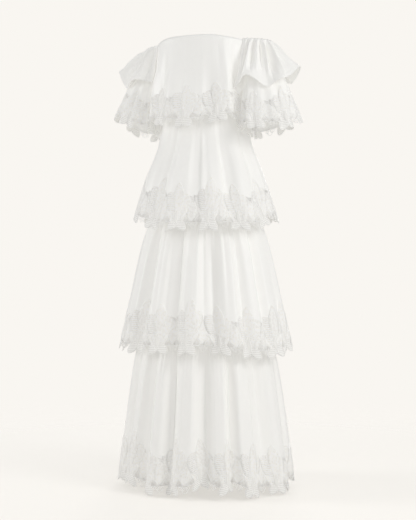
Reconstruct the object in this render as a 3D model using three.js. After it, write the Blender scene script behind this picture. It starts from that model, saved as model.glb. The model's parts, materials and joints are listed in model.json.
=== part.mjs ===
// A white off-the-shoulder maxi dress, filled out as it is when worn: a strapless bodice under a
// loose popover layer, two-layer flutter sleeves, and three flared skirt tiers over an underskirt.
// Flower lace is sewn along every hem and hangs a little below it.
// Millimetres, +Z up, front towards -Y, the wearer's left towards +X.
// The origin is the middle of the neckline, where the dress is held round the body.
import * as THREE from "three";

// Thicknesses and seams.
const SATIN = 1.6; // the satin wall
const LACE = 1.0; // the lace motifs
const SEAM_GAP = 0.3; // between two pieces where they are sewn together
const LAP = 3; // how far two pieces overlap at a seam

// Heights of the seams and hems below the neckline.
const WAIST_Z = -215;
const TIER_2_SEAM_Z = -490;
const TIER_3_SEAM_Z = -850;
const NECK_TOP_Z = 3; // the neckline's highest stretch, in front

// The armhole is a U-shaped notch in the top edge, centred a little behind the side.
const ARMHOLE = { middle: 95, half: 18, depth: 78 }; // degrees, degrees, mm

// Sections of each tube, a row for each height: half width, depth to the front and back of the
// axis, and the share of the full folds that the cloth has there.
const BODICE = [
  { z: NECK_TOP_Z, side: 139, front: 104, back: 84, fold: 0 },
  { z: -80, side: 141, front: 108, back: 86, fold: 0 },
  { z: WAIST_Z, side: 126, front: 92, back: 84, fold: 0 },
];
const POPOVER = [
  { z: NECK_TOP_Z, side: 140.9, front: 105.9, back: 85.9, fold: 0 },
  { z: -75, side: 144, front: 119, back: 95, fold: 0.4 },
  { z: -135, side: 147, front: 126, back: 106, fold: 1 },
  { z: -250, side: 150, front: 142, back: 124, fold: 1 },
];
const TIER_1 = [
  { z: WAIST_Z + LAP, side: 128.2, front: 94.2, back: 86.2, fold: 0 },
  { z: -300, side: 142, front: 114, back: 106, fold: 0.5 },
  { z: -384, side: 173, front: 146, back: 140, fold: 1 },
  { z: -528, side: 220, front: 188, back: 182, fold: 1 },
];
const UNDERSKIRT = [
  { z: WAIST_Z + LAP, side: 123.8, front: 89.8, back: 81.8, fold: 0 },
  { z: TIER_2_SEAM_Z, side: 148, front: 124, back: 118, fold: 0 },
  { z: TIER_3_SEAM_Z, side: 194, front: 164, back: 158, fold: 0 },
];
const TIER_2 = [
  { z: TIER_2_SEAM_Z + LAP, side: 149.8, front: 125.8, back: 119.8, fold: 0 },
  { z: -580, side: 182, front: 156, back: 149, fold: 0.7 },
  { z: -734, side: 217, front: 188, back: 181, fold: 1 },
  { z: -870, side: 248, front: 214, back: 207, fold: 1 },
];
const TIER_3 = [
  { z: TIER_3_SEAM_Z + LAP, side: 195.8, front: 165.8, back: 159.8, fold: 0 },
  { z: -940, side: 208, front: 180, back: 173, fold: 0.7 },
  { z: -1106, side: 229, front: 200, back: 192, fold: 1 },
  { z: -1250, side: 248, front: 217, back: 208, fold: 1 },
];

// Folds of each tube, a row for each ridge: its angle from the front centre towards the wearer's
// left, how far the ridge stands out, and how far the valley after it sinks in.
const VALLEY_SHARPNESS = 2.6; // above 1, a valley is narrower than the ridges beside it
const POPOVER_FOLDS = [
  { at: -61, ridge: 14, valley: 3 },
  { at: -20, ridge: 4, valley: 4 },
  { at: 12, ridge: 2, valley: 5 },
  { at: 52, ridge: 15, valley: 5 },
  { at: 82, ridge: 2, valley: 2 },
  { at: 128, ridge: 12, valley: 4 },
  { at: 166, ridge: 5, valley: 5 },
  { at: 202, ridge: 8, valley: 4 },
  { at: 236, ridge: 12, valley: 2 },
  { at: 265, ridge: 2, valley: 2 },
];
const TIER_1_FOLDS = [
  { at: -50, ridge: 5, valley: 7 },
  { at: -3, ridge: 6, valley: 8 },
  { at: 37, ridge: 7, valley: 7 },
  { at: 64, ridge: 6, valley: 6 },
  { at: 96, ridge: 4, valley: 6 },
  { at: 126, ridge: 2, valley: 7 },
  { at: 158, ridge: 6, valley: 8 },
  { at: 190, ridge: 5, valley: 6 },
  { at: 218, ridge: 6, valley: 7 },
  { at: 246, ridge: 5, valley: 6 },
  { at: 274, ridge: 6, valley: 5 },
];
const TIER_2_FOLDS = [
  { at: -76, ridge: 8, valley: 9 },
  { at: -45, ridge: 9, valley: 11 },
  { at: -15, ridge: 10, valley: 12 },
  { at: 16, ridge: 10, valley: 13 },
  { at: 48, ridge: 10, valley: 8 },
  { at: 65, ridge: 7, valley: 8 },
  { at: 83, ridge: 8, valley: 9 },
  { at: 110, ridge: 7, valley: 11 },
  { at: 137, ridge: 8, valley: 10 },
  { at: 160, ridge: 9, valley: 12 },
  { at: 184, ridge: 8, valley: 10 },
  { at: 207, ridge: 9, valley: 12 },
  { at: 231, ridge: 7, valley: 9 },
  { at: 255, ridge: 8, valley: 9 },
];
const TIER_3_FOLDS = [
  { at: -90, ridge: 7, valley: 12 },
  { at: -62, ridge: 9, valley: 14 },
  { at: -40, ridge: 10, valley: 14 },
  { at: -14, ridge: 11, valley: 15 },
  { at: 10, ridge: 12, valley: 16 },
  { at: 40, ridge: 11, valley: 10 },
  { at: 54, ridge: 12, valley: 13 },
  { at: 88, ridge: 12, valley: 13 },
  { at: 114, ridge: 16, valley: 14 },
  { at: 136, ridge: 11, valley: 16 },
  { at: 157, ridge: 10, valley: 14 },
  { at: 179, ridge: 12, valley: 16 },
  { at: 201, ridge: 9, valley: 14 },
  { at: 221, ridge: 11, valley: 15 },
  { at: 240, ridge: 9, valley: 13 },
  { at: 258, ridge: 10, valley: 13 },
];

// The neckline and the satin hem of each tube, a row for each high or low place. The neckline is
// lower behind, and the popover dips under the arms.
const NECKLINE = [
  { at: -113, z: -11 },
  { at: -77, z: -7 },
  { at: -30, z: NECK_TOP_Z },
  { at: 30, z: NECK_TOP_Z },
  { at: 77, z: -7 },
  { at: 113, z: -11 },
  { at: 180, z: -14 },
];
const POPOVER_HEM = [
  { at: -180, z: -240 },
  { at: -95, z: -262 },
  { at: -60, z: -222 },
  { at: 5, z: -236 },
  { at: 50, z: -220 },
  { at: 92, z: -264 },
];
const TIER_1_HEM = [
  { at: -72, z: -491 },
  { at: -12, z: -525 },
  { at: 20, z: -528 },
  { at: 40, z: -524 },
  { at: 64, z: -528 },
  { at: 92, z: -506 },
  { at: 112, z: -500 },
  { at: 186, z: -522 },
  { at: 250, z: -503 },
];
const TIER_2_HEM = [
  { at: -70, z: -869 },
  { at: -25, z: -869 },
  { at: 24, z: -864 },
  { at: 70, z: -880 },
  { at: 106, z: -868 },
  { at: 186, z: -872 },
  { at: 250, z: -866 },
];
const TIER_3_HEM = [
  { at: -62, z: -1246 },
  { at: -40, z: -1238 },
  { at: -20, z: -1258 },
  { at: 12, z: -1250 },
  { at: 27, z: -1230 },
  { at: 36, z: -1248 },
  { at: 47, z: -1240 },
  { at: 58, z: -1258 },
  { at: 92, z: -1260 },
  { at: 118, z: -1250 },
  { at: 150, z: -1258 },
  { at: 178, z: -1250 },
  { at: 206, z: -1258 },
  { at: 240, z: -1256 },
  { at: 272, z: -1246 },
];

// One flower of the lace, a row for each column of points: its place across the flower, its top
// and its hanging petals as shares of the flower's height and drop, and how far the satin hem is
// scalloped up. An open loop hangs between two flowers. Its strip starts at the cord share of the
// drop and is as deep as the petal beside it, or as the cordEnd share in the middle.
const FLOWER = [
  { across: 0, top: 0.4, drop: 0.05, scallop: 5, cord: 0.6, cordEnd: 0.82 },
  { across: 0.07, top: 0.58, drop: 0.45, scallop: 3, cord: 0.15 },
  { across: 0.26, top: 0.7, drop: 1, scallop: 0 },
  { across: 0.36, top: 0.5, drop: 0.8, scallop: 0 },
  { across: 0.5, top: 1, drop: 0.3, scallop: 0 },
  { across: 0.64, top: 0.5, drop: 0.8, scallop: 0 },
  { across: 0.74, top: 0.7, drop: 1, scallop: 0 },
  { across: 0.93, top: 0.58, drop: 0.45, scallop: 3, cord: 0.15 },
];
const FLOWER_SIZES = [1, 0.86, 1.06, 0.92, 1.1, 0.88, 0.97]; // repeated round each hem
// Flowers on each half of a tube, or round each sleeve, with their height and drop.
const POPOVER_LACE = { flowers: 5, height: 92, drop: 22 };
const TIER_1_LACE = { flowers: 7, height: 118, drop: 24 };
const TIER_2_LACE = { flowers: 8, height: 120, drop: 24 };
const TIER_3_LACE = { flowers: 9, height: 122, drop: 24 };
const SLEEVE_LACE = { flowers: 6, height: 98, drop: 22 };

// Sleeves, written for the wearer's left; the other one is worked out the same way and mirrored.
// The top loop follows the armhole, then goes round the upper arm and sags a little outside it.
const ARMHOLE_SHARE = 0.17; // the share of the loop, each way from underarm, on the armhole
// The upper layer's hem, a row for each wave crest and trough: the turn round the arm from the
// outside towards the front, and the distance from the arm's middle.
const FLOUNCE_MIDDLE = { x: 185, y: 5 };
const LEFT_FLOUNCE = [
  { turn: -10, reach: 106, z: -88 },
  { turn: 33, reach: 100, z: -126 },
  { turn: 58, reach: 82, z: -151 },
  { turn: 96, reach: 100, z: -118 },
  { turn: 124, reach: 98, z: -150 },
  { turn: 180, reach: 60, z: -118 },
  { turn: 236, reach: 98, z: -132 },
  { turn: 264, reach: 86, z: -148 },
  { turn: 292, reach: 100, z: -122 },
  { turn: 312, reach: 86, z: -128 },
];
const RIGHT_FLOUNCE = [
  { turn: 25, reach: 94, z: -74 },
  { turn: 55, reach: 76, z: -128 },
  { turn: 92, reach: 96, z: -108 },
  { turn: 124, reach: 92, z: -118 },
  { turn: 180, reach: 60, z: -112 },
  { turn: 236, reach: 96, z: -128 },
  { turn: 264, reach: 84, z: -140 },
  { turn: 292, reach: 98, z: -112 },
  { turn: 325, reach: 86, z: -124 },
  { turn: 355, reach: 92, z: -104 },
];
// The lower layer's hem is an oval round the arm, lifted on the side that is turned outwards.
const SLEEVE_HEM = { x: 203, y: 2, inner: 84, front: 98, back: 96 };
const LEFT_ARM = { reach: 79, sag: 5 };
const RIGHT_ARM = { reach: 69, sag: 7 };
const LEFT_HEM = { outer: 82, frontZ: -247, backZ: -263, lift: 38, liftTurn: -45 };
const RIGHT_HEM = { outer: 72, frontZ: -238, backZ: -250, lift: 42, liftTurn: 30 };
const SLEEVES = [
  { name: "sleeve_left", side: 1, arm: LEFT_ARM, flounce: LEFT_FLOUNCE, hem: LEFT_HEM },
  { name: "sleeve_right", side: -1, arm: RIGHT_ARM, flounce: RIGHT_FLOUNCE, hem: RIGHT_HEM },
];
const LIFT_SHARPNESS = 1.5; // above 1, the hem is lifted over a narrower stretch
const SLEEVE_WAVES = { count: 7, height: 3.5 };
const GATHERS = { count: 24, height: 2, fullAt: 0.25 }; // fine gathers, four to a flower
const UNDER_LAYER = 2.8; // how far the lower layer starts inside the upper one
// How far each layer keeps off the popover, and the share of its length that it takes to get there.
const CLEARANCE = { lower: 7, upper: 1.5, within: 1 / 6 };

// Rows and columns of points on the walls. Rows are shares of the way down, columns lie on each
// half of the bodice.
const POPOVER_ROWS = [0, 0.3, 0.5, 1];
const SLEEVE_ROWS = [0, 0.18, 0.38, 1];
const FLOUNCE_ROWS = [0, 0.25, 0.6, 1];
const BODICE_COLUMNS = 26;
const UNDERSKIRT_COLUMNS = 2 * BODICE_COLUMNS;
const HEM_SAMPLES = 1440; // steps that a hem's length is measured over

const radians = THREE.MathUtils.degToRad;
const mix = THREE.MathUtils.lerp;
const wrap = (angle) => THREE.MathUtils.euclideanModulo(angle + 180, 360) - 180;

// A place in a table's cyclic column, with its two rows and the share of the way between them.
function between(rows, key, value, period) {
  const last = rows.length - 1;
  for (let i = 0; i <= last; i++) {
    const here = rows[i];
    const next = rows[(i + 1) % rows.length];
    const span = THREE.MathUtils.euclideanModulo(next[key] - here[key], period) || period;
    const along = THREE.MathUtils.euclideanModulo(value - here[key], period);
    if (along < span) return { here, next, share: along / span };
  }
  return { here: rows[last], next: rows[0], share: 0 };
}

// A straight line between a table's rows by height, carried on past its ends.
function sectionAt(rows, z) {
  let i = 0;
  while (i < rows.length - 2 && z < rows[i + 1].z) i++;
  const share = Math.min((z - rows[i].z) / (rows[i + 1].z - rows[i].z), 2);
  const at = (key) => mix(rows[i][key], rows[i + 1][key], share);
  const fold = Math.max(0, mix(rows[i].fold, rows[i + 1].fold, Math.min(share, 1)));
  return { side: at("side"), front: at("front"), back: at("back"), fold };
}

// Folds round a tube: 1 at a ridge's top and 0 in a valley, with valleys narrower than ridges.
function foldHeight(folds, angle) {
  if (!folds.length) return 0;
  const { here, next, share } = between(folds, "at", angle, 360);
  const sunk = Math.sin(Math.PI * share) ** VALLEY_SHARPNESS;
  return mix(here.ridge, next.ridge, share) * (1 - sunk) - here.valley * sunk;
}

// The radius of a tube's outer face at an angle from the front and a height.
function radiusAt(tube, angle, z) {
  const { side, front, back, fold } = sectionAt(tube.sections, z);
  const across = Math.sin(radians(angle));
  const ahead = Math.cos(radians(angle));
  const depth = ahead > 0 ? front : back;
  const oval = 1 / Math.hypot(across / side, ahead / depth);
  return oval + fold * foldHeight(tube.folds, angle);
}

// The height of a hem at an angle, with a smooth wave between the rows of its table.
const hemOf = (table) => (angle) => {
  const { here, next, share } = between(table, "at", angle, 360);
  return mix(here.z, next.z, THREE.MathUtils.smoothstep(share, 0, 1));
};
const neckline = hemOf(NECKLINE);
const popoverHem = hemOf(POPOVER_HEM);

// The top edge of the bodice and popover, with its two armholes.
function neckEdge(angle) {
  const across = (Math.abs(wrap(angle)) - ARMHOLE.middle) / ARMHOLE.half;
  const notch = Math.abs(across) < 1 ? ARMHOLE.depth * (1 - across ** 4) : 0;
  return neckline(angle) - notch;
}

// A tube as a surface: a point for an angle from the front and a share of the way down.
function tubeSurface(tube) {
  return (angle, down) => {
    const z = mix(tube.top(angle), tube.hem(angle), down);
    const radius = radiusAt(tube, angle, z);
    const turn = radians(angle);
    return new THREE.Vector3(radius * Math.sin(turn), -radius * Math.cos(turn), z);
  };
}

const level = (z) => () => z;
const tubeOf = (sections, folds, top, hem) => ({ sections, folds, top, hem });
const firstZ = (rows) => level(rows[0].z);
const lastZ = (rows) => level(rows[rows.length - 1].z);

const bodice = tubeOf(BODICE, [], neckEdge, level(WAIST_Z));
const popover = tubeOf(POPOVER, POPOVER_FOLDS, neckEdge, popoverHem);
const tier1 = tubeOf(TIER_1, TIER_1_FOLDS, firstZ(TIER_1), hemOf(TIER_1_HEM));
const tier2 = tubeOf(TIER_2, TIER_2_FOLDS, firstZ(TIER_2), hemOf(TIER_2_HEM));
const tier3 = tubeOf(TIER_3, TIER_3_FOLDS, firstZ(TIER_3), hemOf(TIER_3_HEM));
const upperSlip = tubeOf(UNDERSKIRT, [], firstZ(UNDERSKIRT), level(TIER_2_SEAM_Z));
const lowerSlip = tubeOf(UNDERSKIRT, [], level(TIER_2_SEAM_Z - SEAM_GAP), lastZ(UNDERSKIRT));

// A grid of points on a surface, a column for each place across it, each point with the outward
// normal of the facets round it. A mirrored surface's normals are turned round.
function gridOn(surface, places, downs, { ring = false, mirrored = false }) {
  const grid = places.map((across) => downs.map((down) => ({ point: surface(across, down) })));
  const last = grid.length - 1;
  const beyond = (end, next) => downs.map((down) => surface(2 * end - next, down));
  const pointsOf = (column) => column.map(({ point }) => point);
  const first = ring ? pointsOf(grid[last]) : beyond(places[0], places[1]);
  const final = ring ? pointsOf(grid[0]) : beyond(places[last], places[last - 1]);
  grid.forEach((column, i) => {
    const before = i > 0 ? pointsOf(grid[i - 1]) : first;
    const after = i < last ? pointsOf(grid[i + 1]) : final;
    column.forEach((place, j) => {
      const above = column[Math.max(j - 1, 0)].point;
      const below = column[Math.min(j + 1, column.length - 1)].point;
      const right = after[j].clone().sub(before[j]);
      place.normal = below.clone().sub(above).cross(right).normalize();
      if (mirrored) place.normal.negate();
    });
  });
  return grid;
}

// A cell between two columns of places, each from top to bottom, as a fan from its first place. A
// twisted panel is folded along the diagonal that lies deeper and the lace over it along the
// other, so the two never cross.
function cellBetween(places, left, right, over) {
  const round = [...left, ...[...right].reverse()];
  const corners = [left[0], left[left.length - 1], right[right.length - 1], right[0]];
  const [a, b, c, d] = corners.map((corner) => places[corner].point);
  const twist = a.clone().add(c).sub(b).sub(d).dot(places[left[0]].normal);
  const fromTop = twist > 0 === over;
  const [leftEnd, rightEnd] = fromTop ? [corners[0], corners[2]] : [corners[1], corners[3]];
  const first = round.indexOf(left.length > 2 ? rightEnd : leftEnd);
  return [...round.slice(first), ...round.slice(0, first)];
}

// The cells of a grid of places. A ring's last column joins its first.
function gridCells(grid, ring) {
  const rows = grid[0].length;
  const places = grid.flat();
  const cells = [];
  for (let i = 0; i < (ring ? grid.length : grid.length - 1); i++) {
    const left = i * rows;
    const right = ((i + 1) % grid.length) * rows;
    for (let j = 0; j < rows - 1; j++) {
      cells.push(cellBetween(places, [left + j, left + j + 1], [right + j, right + j + 1], false));
    }
  }
  return { places, cells };
}

// A closed wall over cells of shared places, between two distances from them along their normals,
// with a side face at each edge that only one cell has.
function wall({ places, cells }, low, high, mirrored = false) {
  const positions = [];
  for (const distance of [high, low]) {
    for (const { point, normal } of places) {
      positions.push(...point.clone().addScaledVector(normal, distance));
    }
  }
  const inner = places.length;
  const index = [];
  const fan = (corners) => {
    for (let i = 1; i < corners.length - 1; i++) {
      const [a, b, c] = [corners[0], corners[i], corners[i + 1]];
      index.push(...(mirrored ? [a, c, b] : [a, b, c]));
    }
  };
  const edgesOf = (cell) => cell.map((here, i) => [here, cell[(i + 1) % cell.length]]);
  const edges = new Set(cells.flatMap(edgesOf).map(String));
  for (const cell of cells) {
    fan(cell);
    fan([cell[0], ...cell.slice(1).reverse()].map((place) => inner + place));
    for (const [here, next] of edgesOf(cell)) {
      if (!edges.has(String([next, here]))) fan([next, here, inner + here, inner + next]);
    }
  }
  const geometry = new THREE.BufferGeometry();
  geometry.setAttribute("position", new THREE.Float32BufferAttribute(positions, 3));
  geometry.setIndex(index);
  return geometry;
}

// Places across a surface at given shares of the length of its hem.
function alongHem(surface, from, to, shares) {
  const places = [];
  const lengths = [0];
  for (let i = 0; i <= HEM_SAMPLES; i++) {
    places.push(mix(from, to, i / HEM_SAMPLES));
    if (i) {
      const step = surface(places[i], 1).distanceTo(surface(places[i - 1], 1));
      lengths.push(lengths[i - 1] + step);
    }
  }
  let i = 0;
  return shares.map((share) => {
    const wanted = share * lengths[HEM_SAMPLES];
    while (i < HEM_SAMPLES - 1 && lengths[i + 1] < wanted) i++;
    const part = (wanted - lengths[i]) / (lengths[i + 1] - lengths[i]);
    return mix(places[i], places[i + 1], part);
  });
}

// The columns of one hem's flowers, from one end to the other, with each one's own size.
function flowerColumns(lace, ring) {
  const columns = [];
  for (let flower = 0; flower < lace.flowers; flower++) {
    const size = FLOWER_SIZES[flower % FLOWER_SIZES.length];
    for (const row of FLOWER) {
      columns.push({
        share: (flower + row.across) / lace.flowers,
        top: row.top * size * lace.height,
        drop: row.drop * size * lace.drop,
        cord: row.cord * size * lace.drop,
        cordEnd: row.cordEnd * size * lace.drop,
        scallop: row.scallop,
      });
    }
  }
  if (!ring) {
    const end = FLOWER[0];
    const last = { share: 1, top: end.top * lace.height, drop: end.drop * lace.drop };
    columns.push({ ...last, scallop: end.scallop });
  }
  return columns;
}

// The cells of a lace band. Each column lists its places from top to bottom. Beside the middle of
// a loop, the last two places of a column are where the loop's strip starts.
function laceCells(places, columns, ring) {
  const cells = [];
  const join = (left, right) => cells.push(cellBetween(places, left, right, true));
  for (let i = 0; i < (ring ? columns.length : columns.length - 1); i++) {
    const left = columns[i];
    const right = columns[(i + 1) % columns.length];
    if (left.strip || right.strip) {
      join(left.band.slice(0, 2), right.band.slice(0, 2));
      join(left.strip || left.band.slice(1), right.strip || right.band.slice(1));
    } else {
      join(left.band, right.band);
    }
  }
  return cells;
}

// The satin panel and the lace band of one hem. The lace is made from the panel's own last
// stretch of points, moved out, so they lie face to face.
function panelAndLace(surface, flowers, places, downs, options) {
  const satin = [];
  const lace = [];
  const last = flowers.length - 1;
  const columns = gridOn(surface, places, downs, options).map((points, i) => {
    const { top, drop, cord, cordEnd, scallop } = flowers[i];
    const hem = points.pop();
    const above = points[points.length - 1];
    const length = above.point.distanceTo(hem.point);
    const upFromHem = (distance) => ({
      point: hem.point.clone().lerp(above.point, distance / length),
      normal: hem.normal.clone().lerp(above.normal, distance / length),
    });
    const put = (distances) => distances.map((distance) => lace.push(upFromHem(distance)) - 1);
    satin.push([...points, upFromHem(scallop)]);
    if (cordEnd && (options.ring || (i > 0 && i < last))) {
      return { band: put([top, -drop]), strip: put([-cord, -cordEnd]) };
    }
    return { band: put(cord < drop ? [top, -cord, -drop] : [top, -drop]) };
  });
  const cells = laceCells(lace, columns, options.ring);
  return {
    satin: wall(gridCells(satin, options.ring), -SATIN, 0, options.mirrored),
    lace: wall({ places: lace, cells }, SEAM_GAP, SEAM_GAP + LACE, options.mirrored),
  };
}

const group = new THREE.Group();
const finish = (color, roughness) => ({ color, roughness, metalness: 0 });
const SATIN_FINISH = finish(0xf3f3ef, 0.45);
const LACE_FINISH = finish(0xecece6, 0.8);
const LINING_FINISH = finish(0xefeeea, 0.6);

function add(name, geometry, look) {
  const mesh = new THREE.Mesh(geometry, new THREE.MeshStandardMaterial(look));
  mesh.name = name;
  group.add(mesh);
}

// Each tube is cut as a front and a back, which meet at the side seams.
function halves(width) {
  const edge = THREE.MathUtils.radToDeg(SEAM_GAP / 2 / width);
  return [
    { half: "front", from: -90 + edge, to: 90 - edge },
    { half: "back", from: 90 + edge, to: 270 - edge },
  ];
}

// Where a tube's section rows lie, as shares of the way down from its top to its hem.
function sharesDown(rows) {
  const top = rows[0].z;
  return rows.map((row) => (row.z - top) / (rows[rows.length - 1].z - top));
}

function addTier(name, tube, lace, downs) {
  const surface = tubeSurface(tube);
  const flowers = flowerColumns(lace, false);
  const shares = flowers.map((column) => column.share);
  for (const { half, from, to } of halves(tube.sections[0].side)) {
    const places = alongHem(surface, from, to, shares);
    const made = panelAndLace(surface, flowers, places, downs, {});
    add(`${name}_${half}`, made.satin, SATIN_FINISH);
    add(`${name}_lace_${half}`, made.lace, LACE_FINISH);
  }
}

const evenly = (count, from, to) =>
  Array.from({ length: count }, (_, i) => mix(from, to, i / count));

function addBodice() {
  const surface = tubeSurface(bodice);
  for (const { half, from, to } of halves(BODICE[0].side)) {
    const places = [...evenly(BODICE_COLUMNS, from, to), to];
    const grid = gridOn(surface, places, sharesDown(BODICE), {});
    add(`bodice_${half}`, wall(gridCells(grid), -SATIN, 0), LINING_FINISH);
  }
}

function addUnderskirt(name, tube) {
  const places = evenly(UNDERSKIRT_COLUMNS, -90, 270);
  const grid = gridOn(tubeSurface(tube), places, [0, 1], { ring: true });
  add(name, wall(gridCells(grid, true), -SATIN, 0), LINING_FINISH);
}

// The top loop of a sleeve, as a share of the way round from underarm by the front. The inset
// moves it in towards the arm, for the layer that lies underneath.
function sleeveTop(share, inset, { side, arm }) {
  const seam = tubeSurface(popover);
  const onArmhole = (part, out) => {
    const angle = side * (ARMHOLE.middle - ARMHOLE.half * part);
    const length = neckEdge(angle) - popoverHem(angle);
    const point = seam(angle, -LAP / length);
    point.x *= side;
    return point.addScaledVector(new THREE.Vector3(point.x, point.y, 0).normalize(), out);
  };
  const turn = THREE.MathUtils.euclideanModulo(share + 0.5, 1) - 0.5;
  if (Math.abs(turn) <= ARMHOLE_SHARE) {
    const part = turn / ARMHOLE_SHARE;
    const point = onArmhole(part, SEAM_GAP + inset);
    point.y += inset * part ** 3;
    return point;
  }
  const front = onArmhole(1, SEAM_GAP);
  const back = onArmhole(-1, SEAM_GAP);
  const round = THREE.MathUtils.euclideanModulo(share, 1) - ARMHOLE_SHARE;
  const angle = Math.PI * (0.5 - round / (1 - 2 * ARMHOLE_SHARE));
  const middle = front.clone().add(back).multiplyScalar(0.5);
  const half = front.sub(back).multiplyScalar(0.5);
  middle.addScaledVector(half, Math.sin(angle) * (1 - inset / half.length()));
  middle.x += (arm.reach - inset) * Math.cos(angle);
  middle.z -= arm.sag * Math.cos(angle);
  return middle;
}

// Moves a point of a sleeve clear of the popover. The sleeve starts close to it and then hangs
// a little further off.
function clearOfBody(point, down, start, end, side) {
  const angle = side * THREE.MathUtils.radToDeg(Math.atan2(point.x, -point.y));
  const clearance = mix(start, end, THREE.MathUtils.clamp(down / CLEARANCE.within, 0, 1));
  const least = radiusAt(popover, angle, point.z) + clearance;
  const radius = Math.hypot(point.x, point.y);
  if (radius < least) {
    point.x *= least / radius;
    point.y *= least / radius;
  }
  return point;
}

function sleeveSurface(share, down, sleeve) {
  const top = sleeveTop(share, UNDER_LAYER, sleeve);
  const turn = Math.PI * (1 - 2 * share);
  const { x, y, inner, front, back } = SLEEVE_HEM;
  const { outer, frontZ, backZ, lift, liftTurn } = sleeve.hem;
  const across = Math.cos(turn);
  const ahead = Math.sin(turn);
  const waves = 1 + (SLEEVE_WAVES.height / outer) * Math.cos(SLEEVE_WAVES.count * 2 * turn);
  const raised = lift * Math.max(0, Math.cos(turn - radians(liftTurn))) ** LIFT_SHARPNESS;
  const hem = new THREE.Vector3(
    x + (across > 0 ? outer : inner) * across * waves,
    y - (ahead > 0 ? front : back) * ahead * waves,
    mix(backZ, frontZ, (ahead + 1) / 2) + raised,
  );
  const point = top.lerp(hem, down);
  return clearOfBody(point, down, SEAM_GAP + UNDER_LAYER, CLEARANCE.lower, sleeve.side);
}

function flounceSurface(share, down, sleeve) {
  const top = sleeveTop(share, 0, sleeve);
  const degrees = 180 - 360 * share;
  const { here, next, share: part } = between(sleeve.flounce, "turn", degrees, 360);
  const ease = THREE.MathUtils.smoothstep(part, 0, 1);
  const turn = radians(degrees);
  const gathered = (1 - down) * Math.min(1, down / GATHERS.fullAt);
  const ripple = gathered * Math.cos(2 * Math.PI * GATHERS.count * share);
  const reach = mix(here.reach, next.reach, ease);
  const hem = new THREE.Vector3(
    FLOUNCE_MIDDLE.x + reach * Math.cos(turn),
    FLOUNCE_MIDDLE.y - reach * Math.sin(turn),
    mix(here.z, next.z, ease),
  );
  const away = hem.clone().sub(top).setZ(0).normalize();
  const point = top.lerp(hem, down).addScaledVector(away, GATHERS.height * ripple);
  return clearOfBody(point, down, SEAM_GAP, CLEARANCE.upper, sleeve.side);
}

function addSleeve(sleeve) {
  const { name, side } = sleeve;
  const placed = (surface) => (across, down) => {
    const point = surface(across, down, sleeve);
    point.x *= side;
    return point;
  };
  const options = { ring: true, mirrored: side < 0 };
  const flowers = flowerColumns(SLEEVE_LACE, true);
  const shares = flowers.map((column) => column.share);
  const made = panelAndLace(placed(sleeveSurface), flowers, shares, SLEEVE_ROWS, options);
  add(name, made.satin, SATIN_FINISH);
  add(`${name}_lace`, made.lace, LACE_FINISH);
  const flounce = gridOn(placed(flounceSurface), shares, FLOUNCE_ROWS, options);
  add(`${name}_flounce`, wall(gridCells(flounce, true), -SATIN, 0, options.mirrored), SATIN_FINISH);
}

addBodice();
addTier("popover", popover, POPOVER_LACE, POPOVER_ROWS);
addTier("tier_1", tier1, TIER_1_LACE, sharesDown(TIER_1));
addUnderskirt("underskirt_upper", upperSlip);
addTier("tier_2", tier2, TIER_2_LACE, sharesDown(TIER_2));
addUnderskirt("underskirt_lower", lowerSlip);
addTier("tier_3", tier3, TIER_3_LACE, sharesDown(TIER_3));
SLEEVES.forEach(addSleeve);

export default group;
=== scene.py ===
"""The looks of a white off-the-shoulder maxi dress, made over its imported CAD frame.

Metres, +Z up, the front towards -Y, the wearer's left towards +X. A tube's angles are degrees from
the front centre towards the wearer's left. Every cloth is a thin shell on the form of its solid.
"""
import json
import math

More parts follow.
